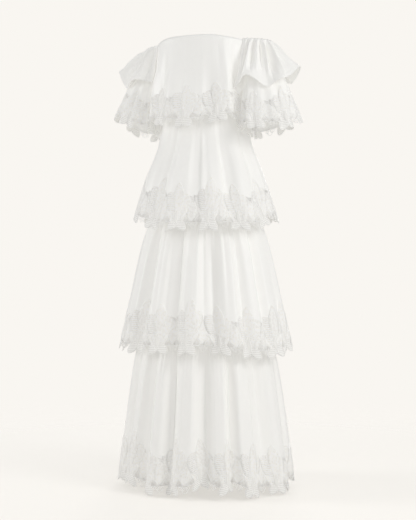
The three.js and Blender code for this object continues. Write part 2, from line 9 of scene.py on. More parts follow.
import bpy
import numpy as np
from mathutils import Vector
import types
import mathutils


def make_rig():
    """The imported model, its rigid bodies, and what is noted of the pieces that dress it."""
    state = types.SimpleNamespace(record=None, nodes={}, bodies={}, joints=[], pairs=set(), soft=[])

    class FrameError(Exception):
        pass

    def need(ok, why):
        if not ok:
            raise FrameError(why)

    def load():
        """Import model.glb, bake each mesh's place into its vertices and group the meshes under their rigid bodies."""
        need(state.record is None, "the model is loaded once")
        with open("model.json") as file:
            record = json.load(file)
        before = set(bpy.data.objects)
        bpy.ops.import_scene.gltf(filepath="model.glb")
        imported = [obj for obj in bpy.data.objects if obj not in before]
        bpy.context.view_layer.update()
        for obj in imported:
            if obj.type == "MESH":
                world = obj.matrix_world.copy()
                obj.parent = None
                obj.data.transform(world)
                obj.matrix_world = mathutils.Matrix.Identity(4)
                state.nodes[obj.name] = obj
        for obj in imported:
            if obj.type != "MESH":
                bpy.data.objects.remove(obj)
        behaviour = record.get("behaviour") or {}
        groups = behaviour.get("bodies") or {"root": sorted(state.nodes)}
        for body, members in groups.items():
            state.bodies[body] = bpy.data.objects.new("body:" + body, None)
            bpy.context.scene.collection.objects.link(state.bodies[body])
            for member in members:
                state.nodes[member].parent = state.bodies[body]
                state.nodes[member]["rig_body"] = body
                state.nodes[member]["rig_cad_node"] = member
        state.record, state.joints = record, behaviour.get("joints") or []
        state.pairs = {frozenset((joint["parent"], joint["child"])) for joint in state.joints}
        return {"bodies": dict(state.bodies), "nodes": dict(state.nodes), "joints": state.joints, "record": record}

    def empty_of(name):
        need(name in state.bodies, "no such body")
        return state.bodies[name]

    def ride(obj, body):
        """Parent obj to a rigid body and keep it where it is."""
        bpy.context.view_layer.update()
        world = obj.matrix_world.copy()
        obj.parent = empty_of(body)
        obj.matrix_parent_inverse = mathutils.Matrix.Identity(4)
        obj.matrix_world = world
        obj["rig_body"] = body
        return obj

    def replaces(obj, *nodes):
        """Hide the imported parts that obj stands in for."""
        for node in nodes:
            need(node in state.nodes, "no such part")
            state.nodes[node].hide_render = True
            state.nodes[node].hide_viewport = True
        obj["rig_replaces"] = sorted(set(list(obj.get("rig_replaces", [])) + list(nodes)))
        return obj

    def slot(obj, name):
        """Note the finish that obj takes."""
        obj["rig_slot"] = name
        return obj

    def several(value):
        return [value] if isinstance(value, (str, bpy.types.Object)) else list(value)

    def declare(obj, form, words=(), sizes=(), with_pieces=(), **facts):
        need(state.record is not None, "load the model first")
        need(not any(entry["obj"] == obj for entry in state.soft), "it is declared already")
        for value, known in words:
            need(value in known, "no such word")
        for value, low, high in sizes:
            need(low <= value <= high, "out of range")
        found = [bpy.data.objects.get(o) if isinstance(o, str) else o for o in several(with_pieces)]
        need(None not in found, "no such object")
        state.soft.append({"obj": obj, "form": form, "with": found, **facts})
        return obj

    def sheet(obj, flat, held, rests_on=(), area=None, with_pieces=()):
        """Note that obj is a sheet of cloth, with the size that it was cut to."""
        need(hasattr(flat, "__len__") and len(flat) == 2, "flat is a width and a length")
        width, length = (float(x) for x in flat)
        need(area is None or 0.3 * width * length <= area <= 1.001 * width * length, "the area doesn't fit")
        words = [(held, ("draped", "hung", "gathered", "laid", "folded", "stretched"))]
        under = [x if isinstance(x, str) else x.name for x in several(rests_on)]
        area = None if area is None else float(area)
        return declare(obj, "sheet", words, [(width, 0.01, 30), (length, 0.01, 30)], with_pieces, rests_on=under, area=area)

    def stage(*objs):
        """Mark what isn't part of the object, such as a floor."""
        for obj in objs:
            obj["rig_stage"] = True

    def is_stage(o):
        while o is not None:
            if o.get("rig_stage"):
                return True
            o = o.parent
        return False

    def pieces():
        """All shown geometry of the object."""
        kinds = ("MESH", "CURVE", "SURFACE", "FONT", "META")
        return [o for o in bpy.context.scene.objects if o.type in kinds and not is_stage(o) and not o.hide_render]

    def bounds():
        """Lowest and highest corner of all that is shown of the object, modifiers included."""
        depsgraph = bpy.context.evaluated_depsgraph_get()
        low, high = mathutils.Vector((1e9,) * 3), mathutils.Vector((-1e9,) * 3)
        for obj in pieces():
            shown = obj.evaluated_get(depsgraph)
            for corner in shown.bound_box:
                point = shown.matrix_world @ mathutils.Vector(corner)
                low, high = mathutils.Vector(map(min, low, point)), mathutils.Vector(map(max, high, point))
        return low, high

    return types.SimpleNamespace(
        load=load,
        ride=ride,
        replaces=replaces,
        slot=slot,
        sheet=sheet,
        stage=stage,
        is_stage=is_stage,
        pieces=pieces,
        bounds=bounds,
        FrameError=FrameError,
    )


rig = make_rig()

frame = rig.load()
cad_low, cad_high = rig.bounds()


def mm(size):
    """Millimetres as metres, rounded so that 2.6 is exactly 0.0026."""
    return round(size / 1000, 9)


def table(columns, *rows):
    """A table as a dictionary of its named columns. Those marked /mm are in millimetres."""
    made = {}
    for column, values in zip(columns.split(), zip(*rows)):
        name, _, unit = column.partition("/")
        made[name] = np.array([mm(value) if unit else value for value in values], float)
    return made


# The form of the dress, as the solids have it.
SEAM_GAP = 0.0003
LAP = 0.003
WAIST_Z = -0.215
TIER_2_SEAM_Z = -0.49
TIER_3_SEAM_Z = -0.85
NECK_TOP_Z = 0.003
ARMHOLE = {"middle": 95, "half": 18, "depth": 0.078}

# Sections of each tube: height, half width, depth before and behind the axis, share of the folds.
SECTION = "z side front back fold"
BODICE = table(
    SECTION,
    (NECK_TOP_Z, 0.139, 0.104, 0.084, 0), (-0.08, 0.141, 0.108, 0.086, 0),
    (WAIST_Z, 0.126, 0.092, 0.084, 0),
)
POPOVER = table(
    SECTION,
    (NECK_TOP_Z, 0.1409, 0.1059, 0.0859, 0), (-0.075, 0.144, 0.119, 0.095, 0.4),
    (-0.135, 0.147, 0.126, 0.106, 1), (-0.25, 0.15, 0.142, 0.124, 1),
)
TIER_1 = table(
    SECTION,
    (WAIST_Z + LAP, 0.1282, 0.0942, 0.0862, 0), (-0.3, 0.142, 0.114, 0.106, 0.5),
    (-0.384, 0.173, 0.146, 0.14, 1), (-0.528, 0.22, 0.188, 0.182, 1),
)
UNDERSKIRT = table(
    SECTION,
    (WAIST_Z + LAP, 0.1238, 0.0898, 0.0818, 0), (TIER_2_SEAM_Z, 0.148, 0.124, 0.118, 0),
    (TIER_3_SEAM_Z, 0.194, 0.164, 0.158, 0),
)
TIER_2 = table(
    SECTION,
    (TIER_2_SEAM_Z + LAP, 0.1498, 0.1258, 0.1198, 0), (-0.58, 0.182, 0.156, 0.149, 0.7),
    (-0.734, 0.217, 0.188, 0.181, 1), (-0.87, 0.248, 0.214, 0.207, 1),
)
TIER_3 = table(
    SECTION,
    (TIER_3_SEAM_Z + LAP, 0.1958, 0.1658, 0.1598, 0), (-0.94, 0.208, 0.18, 0.173, 0.7),
    (-1.106, 0.229, 0.2, 0.192, 1), (-1.25, 0.248, 0.217, 0.208, 1),
)

# Folds: the angle of each ridge, how far it stands out, and how far the valley after it sinks in.
VALLEY_SHARPNESS = 2.6
CREASE_FADE = 0.7
FOLD = "at ridge/mm valley/mm"
NO_FOLDS = table(FOLD, (0, 0, 0))
POPOVER_FOLDS = table(
    FOLD,
    (-61, 14, 3), (-20, 4, 4), (12, 2, 5), (52, 15, 5), (82, 2, 2), (128, 12, 4), (166, 5, 5),
    (202, 8, 4), (236, 12, 2), (265, 2, 2),
)
TIER_1_FOLDS = table(
    FOLD,
    (-50, 5, 7), (-3, 6, 8), (37, 7, 7), (64, 6, 6), (96, 4, 6), (126, 2, 7), (158, 6, 8),
    (190, 5, 6), (218, 6, 7), (246, 5, 6), (274, 6, 5),
)
TIER_2_FOLDS = table(
    FOLD,
    (-76, 8, 9), (-45, 9, 11), (-15, 10, 12), (16, 10, 13), (48, 10, 8), (65, 7, 8), (83, 8, 9),
    (110, 7, 11), (137, 8, 10), (160, 9, 12), (184, 8, 10), (207, 9, 12), (231, 7, 9), (255, 8, 9),
)
TIER_3_FOLDS = table(
    FOLD,
    (-90, 7, 12), (-62, 9, 14), (-40, 10, 14), (-14, 11, 15), (10, 12, 16), (40, 11, 10),
    (54, 12, 13), (88, 12, 13), (114, 16, 14), (136, 11, 16), (157, 10, 14), (179, 12, 16),
    (201, 9, 14), (221, 11, 15), (240, 9, 13), (258, 10, 13),
)

# The neckline and the satin hems: the height at each high or low place.
HEM = "at z/mm"
NECKLINE = table(
    "at z",
    (-113, -0.011), (-77, -0.007), (-30, NECK_TOP_Z), (30, NECK_TOP_Z), (77, -0.007),
    (113, -0.011), (180, -0.014),
)
POPOVER_HEM = table(
    HEM,
    (-180, -240), (-95, -262), (-60, -222), (5, -236), (50, -220), (92, -264),
)
TIER_1_HEM = table(
    HEM,
    (-72, -491), (-12, -525), (20, -528), (40, -524), (64, -528), (92, -506), (112, -500),
    (186, -522), (250, -503),
)
TIER_2_HEM = table(
    HEM,
    (-70, -869), (-25, -869), (24, -864), (70, -880), (106, -868), (186, -872), (250, -866),
)
TIER_3_HEM = table(
    HEM,
    (-62, -1246), (-40, -1238), (-20, -1258), (12, -1250), (27, -1230), (36, -1248), (47, -1240),
    (58, -1258), (92, -1260), (118, -1250), (150, -1258), (178, -1250), (206, -1258), (240, -1256),
    (272, -1246),
)

# Sleeves, written for the wearer's left; the other side is mirrored.
ARMHOLE_SHARE = 0.17
ARMHOLE_EASE = (ARMHOLE_SHARE - 0.03, ARMHOLE_SHARE + 0.05)
FLOUNCE_MIDDLE = (0.185, 0.005)
WAVE = "turn reach/mm z/mm"
LEFT_FLOUNCE = table(
    WAVE,
    (-10, 106, -88), (33, 100, -126), (58, 82, -151), (96, 100, -118), (124, 98, -150),
    (180, 60, -118), (236, 98, -132), (264, 86, -148), (292, 100, -122), (312, 86, -128),
)
RIGHT_FLOUNCE = table(
    WAVE,
    (25, 94, -74), (55, 76, -128), (92, 96, -108), (124, 92, -118), (180, 60, -112),
    (236, 96, -128), (264, 84, -140), (292, 98, -112), (325, 86, -124), (355, 92, -104),
)
SLEEVE_HEM = {"x": 0.203, "y": 0.002, "inner": 0.084, "front": 0.098, "back": 0.096}
LIFT_SHARPNESS = 1.5
SLEEVE_WAVES = {"count": 7, "height": 0.0035}
SLEEVE_RIPPLE = {"count": 19, "height": 0.0008, "phase": 0.7}
SLEEVE_GATHERS = (30, 0.001, 0.5)
FLOUNCE_RIPPLE = {"count": 24, "height": 0.001, "full_at": 0.25}
FLOUNCE_GATHERS = (37, 0.0018, 0.35)
UNDER_LAYER = 0.0028
CLEARANCE = {"lower": 0.007, "upper": 0.0015, "within": 1 / 6}
SLEEVES = {
    "left": {
        "side": 1, "arm_reach": 0.079, "arm_sag": 0.005, "flounce": LEFT_FLOUNCE, "outer": 0.082,
        "front_z": -0.247, "back_z": -0.263, "lift": 0.038, "lift_turn": -45,
    },
    "right": {
        "side": -1, "arm_reach": 0.069, "arm_sag": 0.007, "flounce": RIGHT_FLOUNCE, "outer": 0.072,
        "front_z": -0.238, "back_z": -0.25, "lift": 0.042, "lift_turn": 30,
    },
}

def unit(vectors):
    return vectors / np.maximum(np.linalg.norm(vectors, axis=-1, keepdims=True), 1e-12)


def smoothstep(low, high, value):
    share = np.clip((value - low) / (high - low), 0, 1)
    return share * share * (3 - 2 * share)


def mix(a, b, share):
    return a + (b - a) * share


def between(rows, key, value, period=360.0):
    """The rows before and after each value of a cyclic column, and the share of the way."""
    starts = np.mod(rows[key] - rows[key][0], period)
    along = np.mod(np.asarray(value, float) - rows[key][0], period)
    here = np.searchsorted(starts, along, side="right") - 1
    following = (here + 1) % len(starts)
    span = np.where(following == 0, period, starts[following]) - starts[here]
    return here, following, (along - starts[here]) / span


def smooth_column(rows, key, z):
    """A table's column at heights z, as a curve without overshoot, straight past its ends."""
    depth, values = -rows["z"], rows[key]
    step = np.diff(depth)
    slope = np.diff(values) / step
    product = slope[1:] * slope[:-1]
    total = np.where(slope[1:] + slope[:-1] == 0, 1, slope[1:] + slope[:-1])
    tangent = np.concatenate(
        ([slope[0]], np.where(product > 0, 2 * product / total, 0), [slope[-1]])
    )
    at = -np.asarray(z, float)
    i = np.clip(np.searchsorted(depth, at, side="right") - 1, 0, len(step) - 1)
    t = np.clip((at - depth[i]) / step[i], 0, 1)
    curve = (
        values[i] * (1 + 2 * t) * (1 - t) ** 2
        + values[i + 1] * t * t * (3 - 2 * t)
        + step[i] * (tangent[i] * t * (1 - t) ** 2 - tangent[i + 1] * t * t * (1 - t))
    )
    before = np.minimum(at - depth[0], 0) * slope[0]
    after = np.maximum(at - depth[-1], 0) * slope[-1]
    return curve + before + after


def fold_height(folds, angle):
    here, following, share = between(folds, "at", angle)
    sunk = np.sin(np.pi * share) ** VALLEY_SHARPNESS
    ridge = mix(folds["ridge"][here], folds["ridge"][following], share)
    return ridge * (1 - sunk) - folds["valley"][here] * sunk


def crease_height(creases, across, down, period):
    """How far a set of soft creases lifts or sinks the cloth."""
    height = np.zeros(np.broadcast(across, down).shape)
    for start, end, top, bottom, width, depth in creases:
        share = np.clip((down - top) / (bottom - top), 0, 1)
        middle = mix(start, end, share)
        off = np.mod(across - middle + period / 2, period) - period / 2
        fade = np.sin(np.pi * share) ** CREASE_FADE
        height = height + mm(depth) * fade * np.exp(-((off / width) ** 2))
    return height


def radius_at(tube, angle, z):
    across, ahead = np.sin(np.radians(angle)), np.cos(np.radians(angle))
    sections = tube["sections"]
    depth = np.where(
        ahead > 0, smooth_column(sections, "front", z), smooth_column(sections, "back", z)
    )
    oval = 1 / np.hypot(across / smooth_column(sections, "side", z), ahead / depth)
    fold = np.maximum(0, smooth_column(sections, "fold", z))
    return oval + np.minimum(fold, 1) * fold_height(tube["folds"], angle)


def hem_of(rows):
    def hem(angle):
        here, following, share = between(rows, "at", angle)
        return mix(rows["z"][here], rows["z"][following], smoothstep(0, 1, share))

    return hem


neckline = hem_of(NECKLINE)


def neck_edge(angle):
    turn = np.abs(np.mod(np.asarray(angle, float) + 180, 360) - 180)
    across = (turn - ARMHOLE["middle"]) / ARMHOLE["half"]
    notch = ARMHOLE["depth"] * np.maximum(0, 1 - across**4)
    return neckline(angle) - notch


def level(z):
    return lambda angle: np.full(np.shape(angle), float(z))


def paired(across, down):
    return np.broadcast_arrays(np.asarray(across, float), np.asarray(down, float))


def tube_of(sections, folds, top, hem, detail=None):
    return {"sections": sections, "folds": folds, "top": top, "hem": hem, "detail": detail}


def tube_surface(tube):
    """A point for an angle from the front and a share of the way down."""

    def surface(angle, down):
        angle, down = paired(angle, down)
        z = mix(tube["top"](angle), tube["hem"](angle), down)
        radius = radius_at(tube, angle, z)
        if tube["detail"]:
            radius = radius + tube["detail"](angle, down)
        turn = np.radians(angle)
        return np.stack([radius * np.sin(turn), -radius * np.cos(turn), z], -1)

    return surface


def ripples(angle, down, waves):
    """Uneven ripples round a tube."""
    height = 0
    for count, size, phase, drift, top, bottom in waves:
        amount = size * mix(top, bottom, down)
        height = height + amount * np.sin(np.radians(count * angle) + phase + drift * down)
    return height


def gathers(angle, down, count, size, reach):
    """Fine gathers under a seam, uneven in height and spacing."""
    wander = 0.9 * np.sin(np.radians(5 * angle) + 1.3) + 0.7 * np.sin(np.radians(11 * angle) + 0.4)
    uneven = 0.65 + 0.35 * np.sin(np.radians(7 * angle) + 2.1) * np.sin(np.radians(17 * angle))
    fade = np.exp(-down / reach) * smoothstep(0, 0.03, down)
    return size * uneven * fade * np.sin(np.radians(count * angle) + wander)


# Fine form that the solids leave out. Each soft crease starts and ends at an angle (or at a share
# of the way round a sleeve), runs between two shares of the way down, and has a width and a depth
# in millimetres.
POPOVER_CREASES = (
    (-60, -66, 0.02, 0.75, 5, -2.6), (-38, -34, 0.15, 0.95, 6, -2.4), (-16, -22, 0.3, 0.9, 9, 2),
    (9, 12, 0.06, 0.78, 16, -5), (22, 26, 0.45, 1.05, 8, 0.8), (38, 40, 0.3, 0.98, 5, -1.4),
    (45, 46, 0.1, 0.98, 2.6, -2.6), (51, 52, 0, 0.98, 3.5, 2.4), (66, 64, 0.05, 0.8, 5, -2.2),
    (118, 126, 0.05, 0.9, 6, -2.6), (150, 146, 0.1, 0.85, 7, 2.6), (178, 182, 0.05, 0.7, 12, -4.4),
    (210, 204, 0.1, 0.8, 8, -2.8), (240, 246, 0.05, 0.9, 5, -1.6),
)
TIER_1_CREASES = (
    (-62, -66, 0.05, 0.95, 3.5, -2.8), (-36, -40, 0.02, 0.9, 4, 2.2),
    (-20, -19, 0.05, 1.1, 4, -3.4), (-9, -6, 0.2, 0.8, 3, 1.8), (6, 10, 0.05, 0.95, 4, 2.2),
    (19, 23, 0, 1.1, 5.5, -2.8), (29, 32, 0.1, 1, 3, 2), (45, 49, 0.05, 1.1, 3, -3),
    (56, 58, 0.2, 0.9, 2.5, 1.6), (74, 79, 0, 0.95, 3, -3), (88, 92, 0.1, 0.9, 3, 1.8),
    (108, 102, 0.1, 0.95, 4, -2.8), (140, 146, 0.05, 0.9, 4, -3.4), (152, 151, 0.15, 0.95, 3, 2),
    (176, 170, 0.1, 1.05, 4, -3.2), (206, 210, 0.05, 0.95, 4, -3), (222, 220, 0.1, 0.95, 3, 2),
    (232, 226, 0.1, 0.9, 3.5, -2.6), (262, 268, 0.05, 0.95, 4, -3),
)
TIER_2_CREASES = (
    (-82, -86, 0, 1.05, 3, -3), (-60, -62, 0.02, 0.9, 3, -3.2), (-37, -39, 0, 1.1, 2.2, 2.4),
    (-30, -31, 0.1, 1.1, 2.4, -3.4), (-22, -20, 0.05, 1, 2.6, 2), (-7, -8, 0.1, 0.95, 2.2, -2.8),
    (2, 3, 0, 1.1, 2.4, -3.4), (10, 9, 0.2, 1, 2, 2), (24, 26, 0.05, 1.05, 2.6, -3.4),
    (34, 35, 0.3, 1.1, 2, -3), (42, 42, 0, 0.9, 2.2, 2.2), (57, 57, 0.1, 1.1, 1.8, -3),
    (73, 75, 0, 1.1, 1.6, -4.4), (78, 79, 0.1, 0.9, 2.2, 1.8), (94, 97, 0, 1.05, 2.8, -3.4),
    (122, 125, 0.05, 1, 2.6, -3.4), (131, 130, 0.1, 0.9, 2.2, 2.2), (148, 150, 0, 1.1, 2.4, -3.6),
    (171, 169, 0.05, 1, 2.6, -3), (178, 178, 0.2, 1.1, 2, 2.2), (196, 198, 0, 1.05, 2.4, -3.6),
    (220, 217, 0.1, 1.1, 2.2, -3.2), (226, 226, 0.05, 0.85, 2, 2.2),
    (244, 246, 0, 1.05, 2.4, -3.4), (262, 264, 0.1, 0.95, 2.2, -2.8),
)
TIER_3_CREASES = (
    (-77, -79, 0, 1.05, 2.6, -3.6), (-70, -68, 0.15, 1, 2, 2.2), (-52, -54, 0.05, 1.1, 2.4, -3.6),
    (-34, -35, 0, 1, 2, 2.4), (-25, -26, 0.05, 1.15, 2.2, -4), (-7, -5, 0.1, 1.1, 2, -3),
    (-1, -1, 0, 1.05, 2, -3.6), (17, 18, 0.05, 1, 2.6, 2.6), (26, 28, 0, 1.15, 2.6, -4),
    (34, 34, 0.2, 1.1, 1.8, 2), (47, 46, 0, 1.15, 1.8, -4.6), (51, 51.5, 0.05, 1.15, 1.7, 1.8),
    (62, 61, 0.1, 0.95, 2.4, 2.2), (72, 75, 0, 1.1, 2.4, -4), (81, 81, 0.1, 0.95, 2, 2),
    (101, 103, 0, 1.05, 2.4, -3.8), (125, 124, 0.05, 1.1, 2.2, -3.6), (130, 131, 0.2, 1, 1.8, 2.2),
    (147, 149, 0, 1.1, 2.4, -3.8), (168, 166, 0.05, 1.05, 2.2, -3.4),
    (173, 173, 0.1, 0.9, 1.8, 2.2), (190, 191, 0, 1.15, 2.2, -4), (211, 210, 0.05, 1, 2, -3.4),
    (216, 216, 0.15, 1.1, 1.8, 2.4), (231, 232, 0, 1.05, 2.2, -3.8),
    (249, 250, 0.05, 1.1, 2, -3.6),
)
CREASE_DEPTH = {"popover": 1.2, "tiers": 1.7}
ROLLED_EDGE = {"height": 0.0011, "share": 0.028, "middle": 0.6}
DEEPEST_GATHER = 0.0001  # under the rolled edge

# Ripples: count, height, phase, drift down, and the share of the height at the top and the hem.
POPOVER_RIPPLES = ((31, 0.0005, 0.4, 0.8, 0.2, 1), (47, 0.00025, 1.9, -1.0, 0.6, 0.8))
TIER_1_RIPPLES = ((23, 0.0008, 0.9, 1.2, 0.2, 1), (41, 0.0004, 2.4, -0.9, 0.3, 1))
TIER_2_RIPPLES = (
    (37, 0.0009, 0.3, 1.6, 1, 0.5), (53, 0.0005, 1.2, -1.4, 1, 0.6),
    (19, 0.001, 2.2, 0.9, 0.4, 1),
)
TIER_3_RIPPLES = (
    (43, 0.0009, 1.1, 1.3, 1, 0.5), (61, 0.0005, 0.2, -1.7, 1, 0.6),
    (22, 0.0011, 0.6, 1.0, 0.4, 1),
)
# Gathers: count, height and reach down.
POPOVER_GATHERS = (88, 0.0007, 0.1)
TIER_1_GATHERS = (74, 0.001, 0.14)
TIER_2_GATHERS = (96, 0.002, 0.28)
TIER_3_GATHERS = (118, 0.002, 0.28)


def popover_detail(angle, down):
    creases = CREASE_DEPTH["popover"] * crease_height(POPOVER_CREASES, angle, down, 360)
    below = down / ROLLED_EDGE["share"] - ROLLED_EDGE["middle"]
    edge = ROLLED_EDGE["height"] * np.exp(-(below**2))
    fine = np.maximum(gathers(angle, down, *POPOVER_GATHERS), -DEEPEST_GATHER)
    return creases + ripples(angle, down, POPOVER_RIPPLES) + edge + fine


def first_z(rows):
    return level(rows["z"][0])


def tier_tube(sections, folds, hem, creases, waves, fine):
    def detail(angle, down):
        height = CREASE_DEPTH["tiers"] * crease_height(creases, angle, down, 360)
        return height + ripples(angle, down, waves) + gathers(angle, down, *fine)

    return tube_of(sections, folds, first_z(sections), hem_of(hem), detail)


popover_hem = hem_of(POPOVER_HEM)
bodice = tube_of(BODICE, NO_FOLDS, neck_edge, level(WAIST_Z))
popover = tube_of(POPOVER, POPOVER_FOLDS, neck_edge, popover_hem, popover_detail)
tier_1 = tier_tube(
    TIER_1, TIER_1_FOLDS, TIER_1_HEM, TIER_1_CREASES, TIER_1_RIPPLES, TIER_1_GATHERS
)
tier_2 = tier_tube(
    TIER_2, TIER_2_FOLDS, TIER_2_HEM, TIER_2_CREASES, TIER_2_RIPPLES, TIER_2_GATHERS
)
tier_3 = tier_tube(
    TIER_3, TIER_3_FOLDS, TIER_3_HEM, TIER_3_CREASES, TIER_3_RIPPLES, TIER_3_GATHERS
)
upper_slip = tube_of(UNDERSKIRT, NO_FOLDS, first_z(UNDERSKIRT), level(TIER_2_SEAM_Z))
lower_slip = tube_of(
    UNDERSKIRT, NO_FOLDS, level(TIER_2_SEAM_Z - SEAM_GAP), level(TIER_3_SEAM_Z)
)


def sleeve_top(share, inset, sleeve):
    """The top loop of a sleeve, from underarm by the front: the armhole, then round the arm."""
    seam = tube_surface(popover)

    def on_armhole(part, out):
        angle = sleeve["side"] * (ARMHOLE["middle"] - ARMHOLE["half"] * np.asarray(part, float))
        point = seam(angle, -LAP / (neck_edge(angle) - popover_hem(angle)))
        point[..., 0] *= sleeve["side"]
        level_part = point[..., :2]
        point[..., :2] = level_part + out * unit(level_part)
        return point

    turn = np.mod(share + 0.5, 1) - 0.5
    part = turn / ARMHOLE_SHARE
    body = on_armhole(np.clip(part, -1, 1), SEAM_GAP + inset)
    body[..., 1] += inset * np.clip(part, -1, 1) ** 3
    front, back = on_armhole(1.0, SEAM_GAP), on_armhole(-1.0, SEAM_GAP)
    angle = np.pi * (0.5 - (np.mod(share, 1) - ARMHOLE_SHARE) / (1 - 2 * ARMHOLE_SHARE))
    half = (front - back) / 2
    size = 1 - inset / np.linalg.norm(half)
    arm = (front + back) / 2 + half * (np.sin(angle) * size)[..., None]
    arm[..., 0] += (sleeve["arm_reach"] - inset) * np.cos(angle)
    arm[..., 2] -= sleeve["arm_sag"] * np.cos(angle)
    return np.where((np.abs(turn) <= ARMHOLE_SHARE)[..., None], body, arm)


def clear_of_body(point, down, start, end, side):
    """Moves a sleeve's points clear of the popover, close at the seam and then further off."""
    angle = side * np.degrees(np.arctan2(point[..., 0], -point[..., 1]))
    clearance = mix(start, end, np.clip(down / CLEARANCE["within"], 0, 1))
    least = radius_at(popover, angle, point[..., 2]) + clearance
    radius = np.hypot(point[..., 0], point[..., 1])
    scale = np.maximum(1, least / radius)
    return point * np.stack([scale, scale, np.ones_like(scale)], -1)


def arm_gathers(share, down, count, size, reach):
    """Gathers that fan out from a sleeve's top edge, uneven in height and spacing."""
    turn = 2 * np.pi * share
    wander = 0.8 * np.sin(3 * turn + 0.6) + 0.5 * np.sin(7 * turn + 2.0)
    uneven = 0.7 + 0.3 * np.sin(5 * turn + 1.1)
    fade = smoothstep(0, 0.12, down) * np.exp(-down / reach)
    return size * uneven * fade * np.cos(count * turn + wander)


# A sleeve's creases all run up past its top. Each row has the start, the end (both in thousandths
# of the way round), the bottom, the width (in thousandths too) and the depth in millimetres.
SLEEVE_CREASE_TOP = -0.2
LEFT_CREASES = (
    (215, 195, 1, 10, -8), (236, 222, 0.9, 8, 4), (262, 246, 0.9, 10, -10), (290, 280, 0.8, 9, 6),
    (318, 312, 0.7, 7, -6), (345, 350, 0.8, 9, 6), (372, 385, 1.1, 13, -12), (402, 425, 1, 9, 5),
    (440, 462, 0.8, 9, -7), (480, 490, 0.8, 10, 5), (520, 535, 0.9, 11, -8), (565, 575, 0.8, 9, 5),
    (600, 610, 0.9, 10, -8), (640, 640, 0.8, 9, 5), (675, 668, 0.9, 11, -9), (715, 720, 0.8, 9, 5),
    (750, 765, 0.9, 10, -8), (790, 800, 0.9, 10, 4),
)
RIGHT_CREASES = (
    (210, 200, 1, 10, -8), (238, 230, 0.9, 8, 5), (262, 262, 0.9, 9, -9), (292, 300, 0.8, 9, 6),
    (320, 335, 1, 10, -9), (350, 372, 0.9, 9, 5), (385, 405, 0.9, 10, -8), (425, 435, 0.8, 9, 5),
    (462, 468, 0.9, 10, -7), (500, 505, 0.9, 9, 5), (540, 548, 0.9, 11, -9), (580, 590, 0.8, 9, 5),
    (620, 625, 0.9, 10, -8), (660, 670, 0.9, 9, 5), (700, 705, 0.9, 11, -9), (745, 740, 0.9, 9, 5),
    (785, 790, 0.9, 10, -7),
)
for side, creases in (("left", LEFT_CREASES), ("right", RIGHT_CREASES)):
    SLEEVES[side]["creases"] = [
        (start / 1000, end / 1000, SLEEVE_CREASE_TOP, bottom, width / 1000, depth)
        for start, end, bottom, width, depth in creases
    ]

FOLDS_OPEN_AT = 0.15
SLEEVE_FOLDS = 2.0
# The lower sleeve is tucked in where the flounce hides it, and the flounce's folds use that room.
TUCK = {"depth": 0.019, "spare": 0.0012, "ends": 0.48, "used": 0.9}
PUCKERS = {"count": 30, "wander": 7, "height": 0.0011, "reach": 0.05}


def off_armhole(share):
    """0 along the armhole seam, and 1 round the arm."""
    around = np.abs(np.mod(share + 0.5, 1) - 0.5)
    return smoothstep(*ARMHOLE_EASE, around)


def pushed(point, hem, top, distance):
    """Moves points away from the arm, level, by a distance."""
    return point + unit((hem - top) * (1, 1, 0)) * distance[..., None]


def sleeve_surface(sleeve):
    def surface(share, down):
        share, down = paired(share, down)
        top = sleeve_top(share, UNDER_LAYER, sleeve)
        turn = np.pi * (1 - 2 * share)
        across, ahead = np.cos(turn), np.sin(turn)
        outer, wave = sleeve["outer"], SLEEVE_WAVES
        waves = 1 + wave["height"] / outer * np.cos(wave["count"] * 2 * turn)
        lifted = np.maximum(0, np.cos(turn - math.radians(sleeve["lift_turn"])))
        reach_x = np.where(across > 0, outer, SLEEVE_HEM["inner"]) * across * waves
        reach_y = np.where(ahead > 0, SLEEVE_HEM["front"], SLEEVE_HEM["back"]) * ahead * waves
        z = mix(sleeve["back_z"], sleeve["front_z"], (ahead + 1) / 2)
        z = z + sleeve["lift"] * lifted**LIFT_SHARPNESS
        hem = np.stack([SLEEVE_HEM["x"] + reach_x, SLEEVE_HEM["y"] - reach_y, z], -1)
        point = mix(top, hem, down[..., None])
        fine = arm_gathers(share, down, *SLEEVE_GATHERS)
        turns = 2 * np.pi * SLEEVE_RIPPLE["count"] * share
        fine = fine + SLEEVE_RIPPLE["height"] * down * np.sin(turns + SLEEVE_RIPPLE["phase"])
        outside = off_armhole(share)
        tuck = TUCK["depth"] * np.sin(np.pi * np.clip(down / TUCK["ends"], 0, 1))
        point = pushed(point, hem, top, fine - outside * tuck)
        start, end = SEAM_GAP + UNDER_LAYER, CLEARANCE["lower"]
        point = clear_of_body(point, down, start, end, sleeve["side"])
        return point * (sleeve["side"], 1, 1)

    return surface


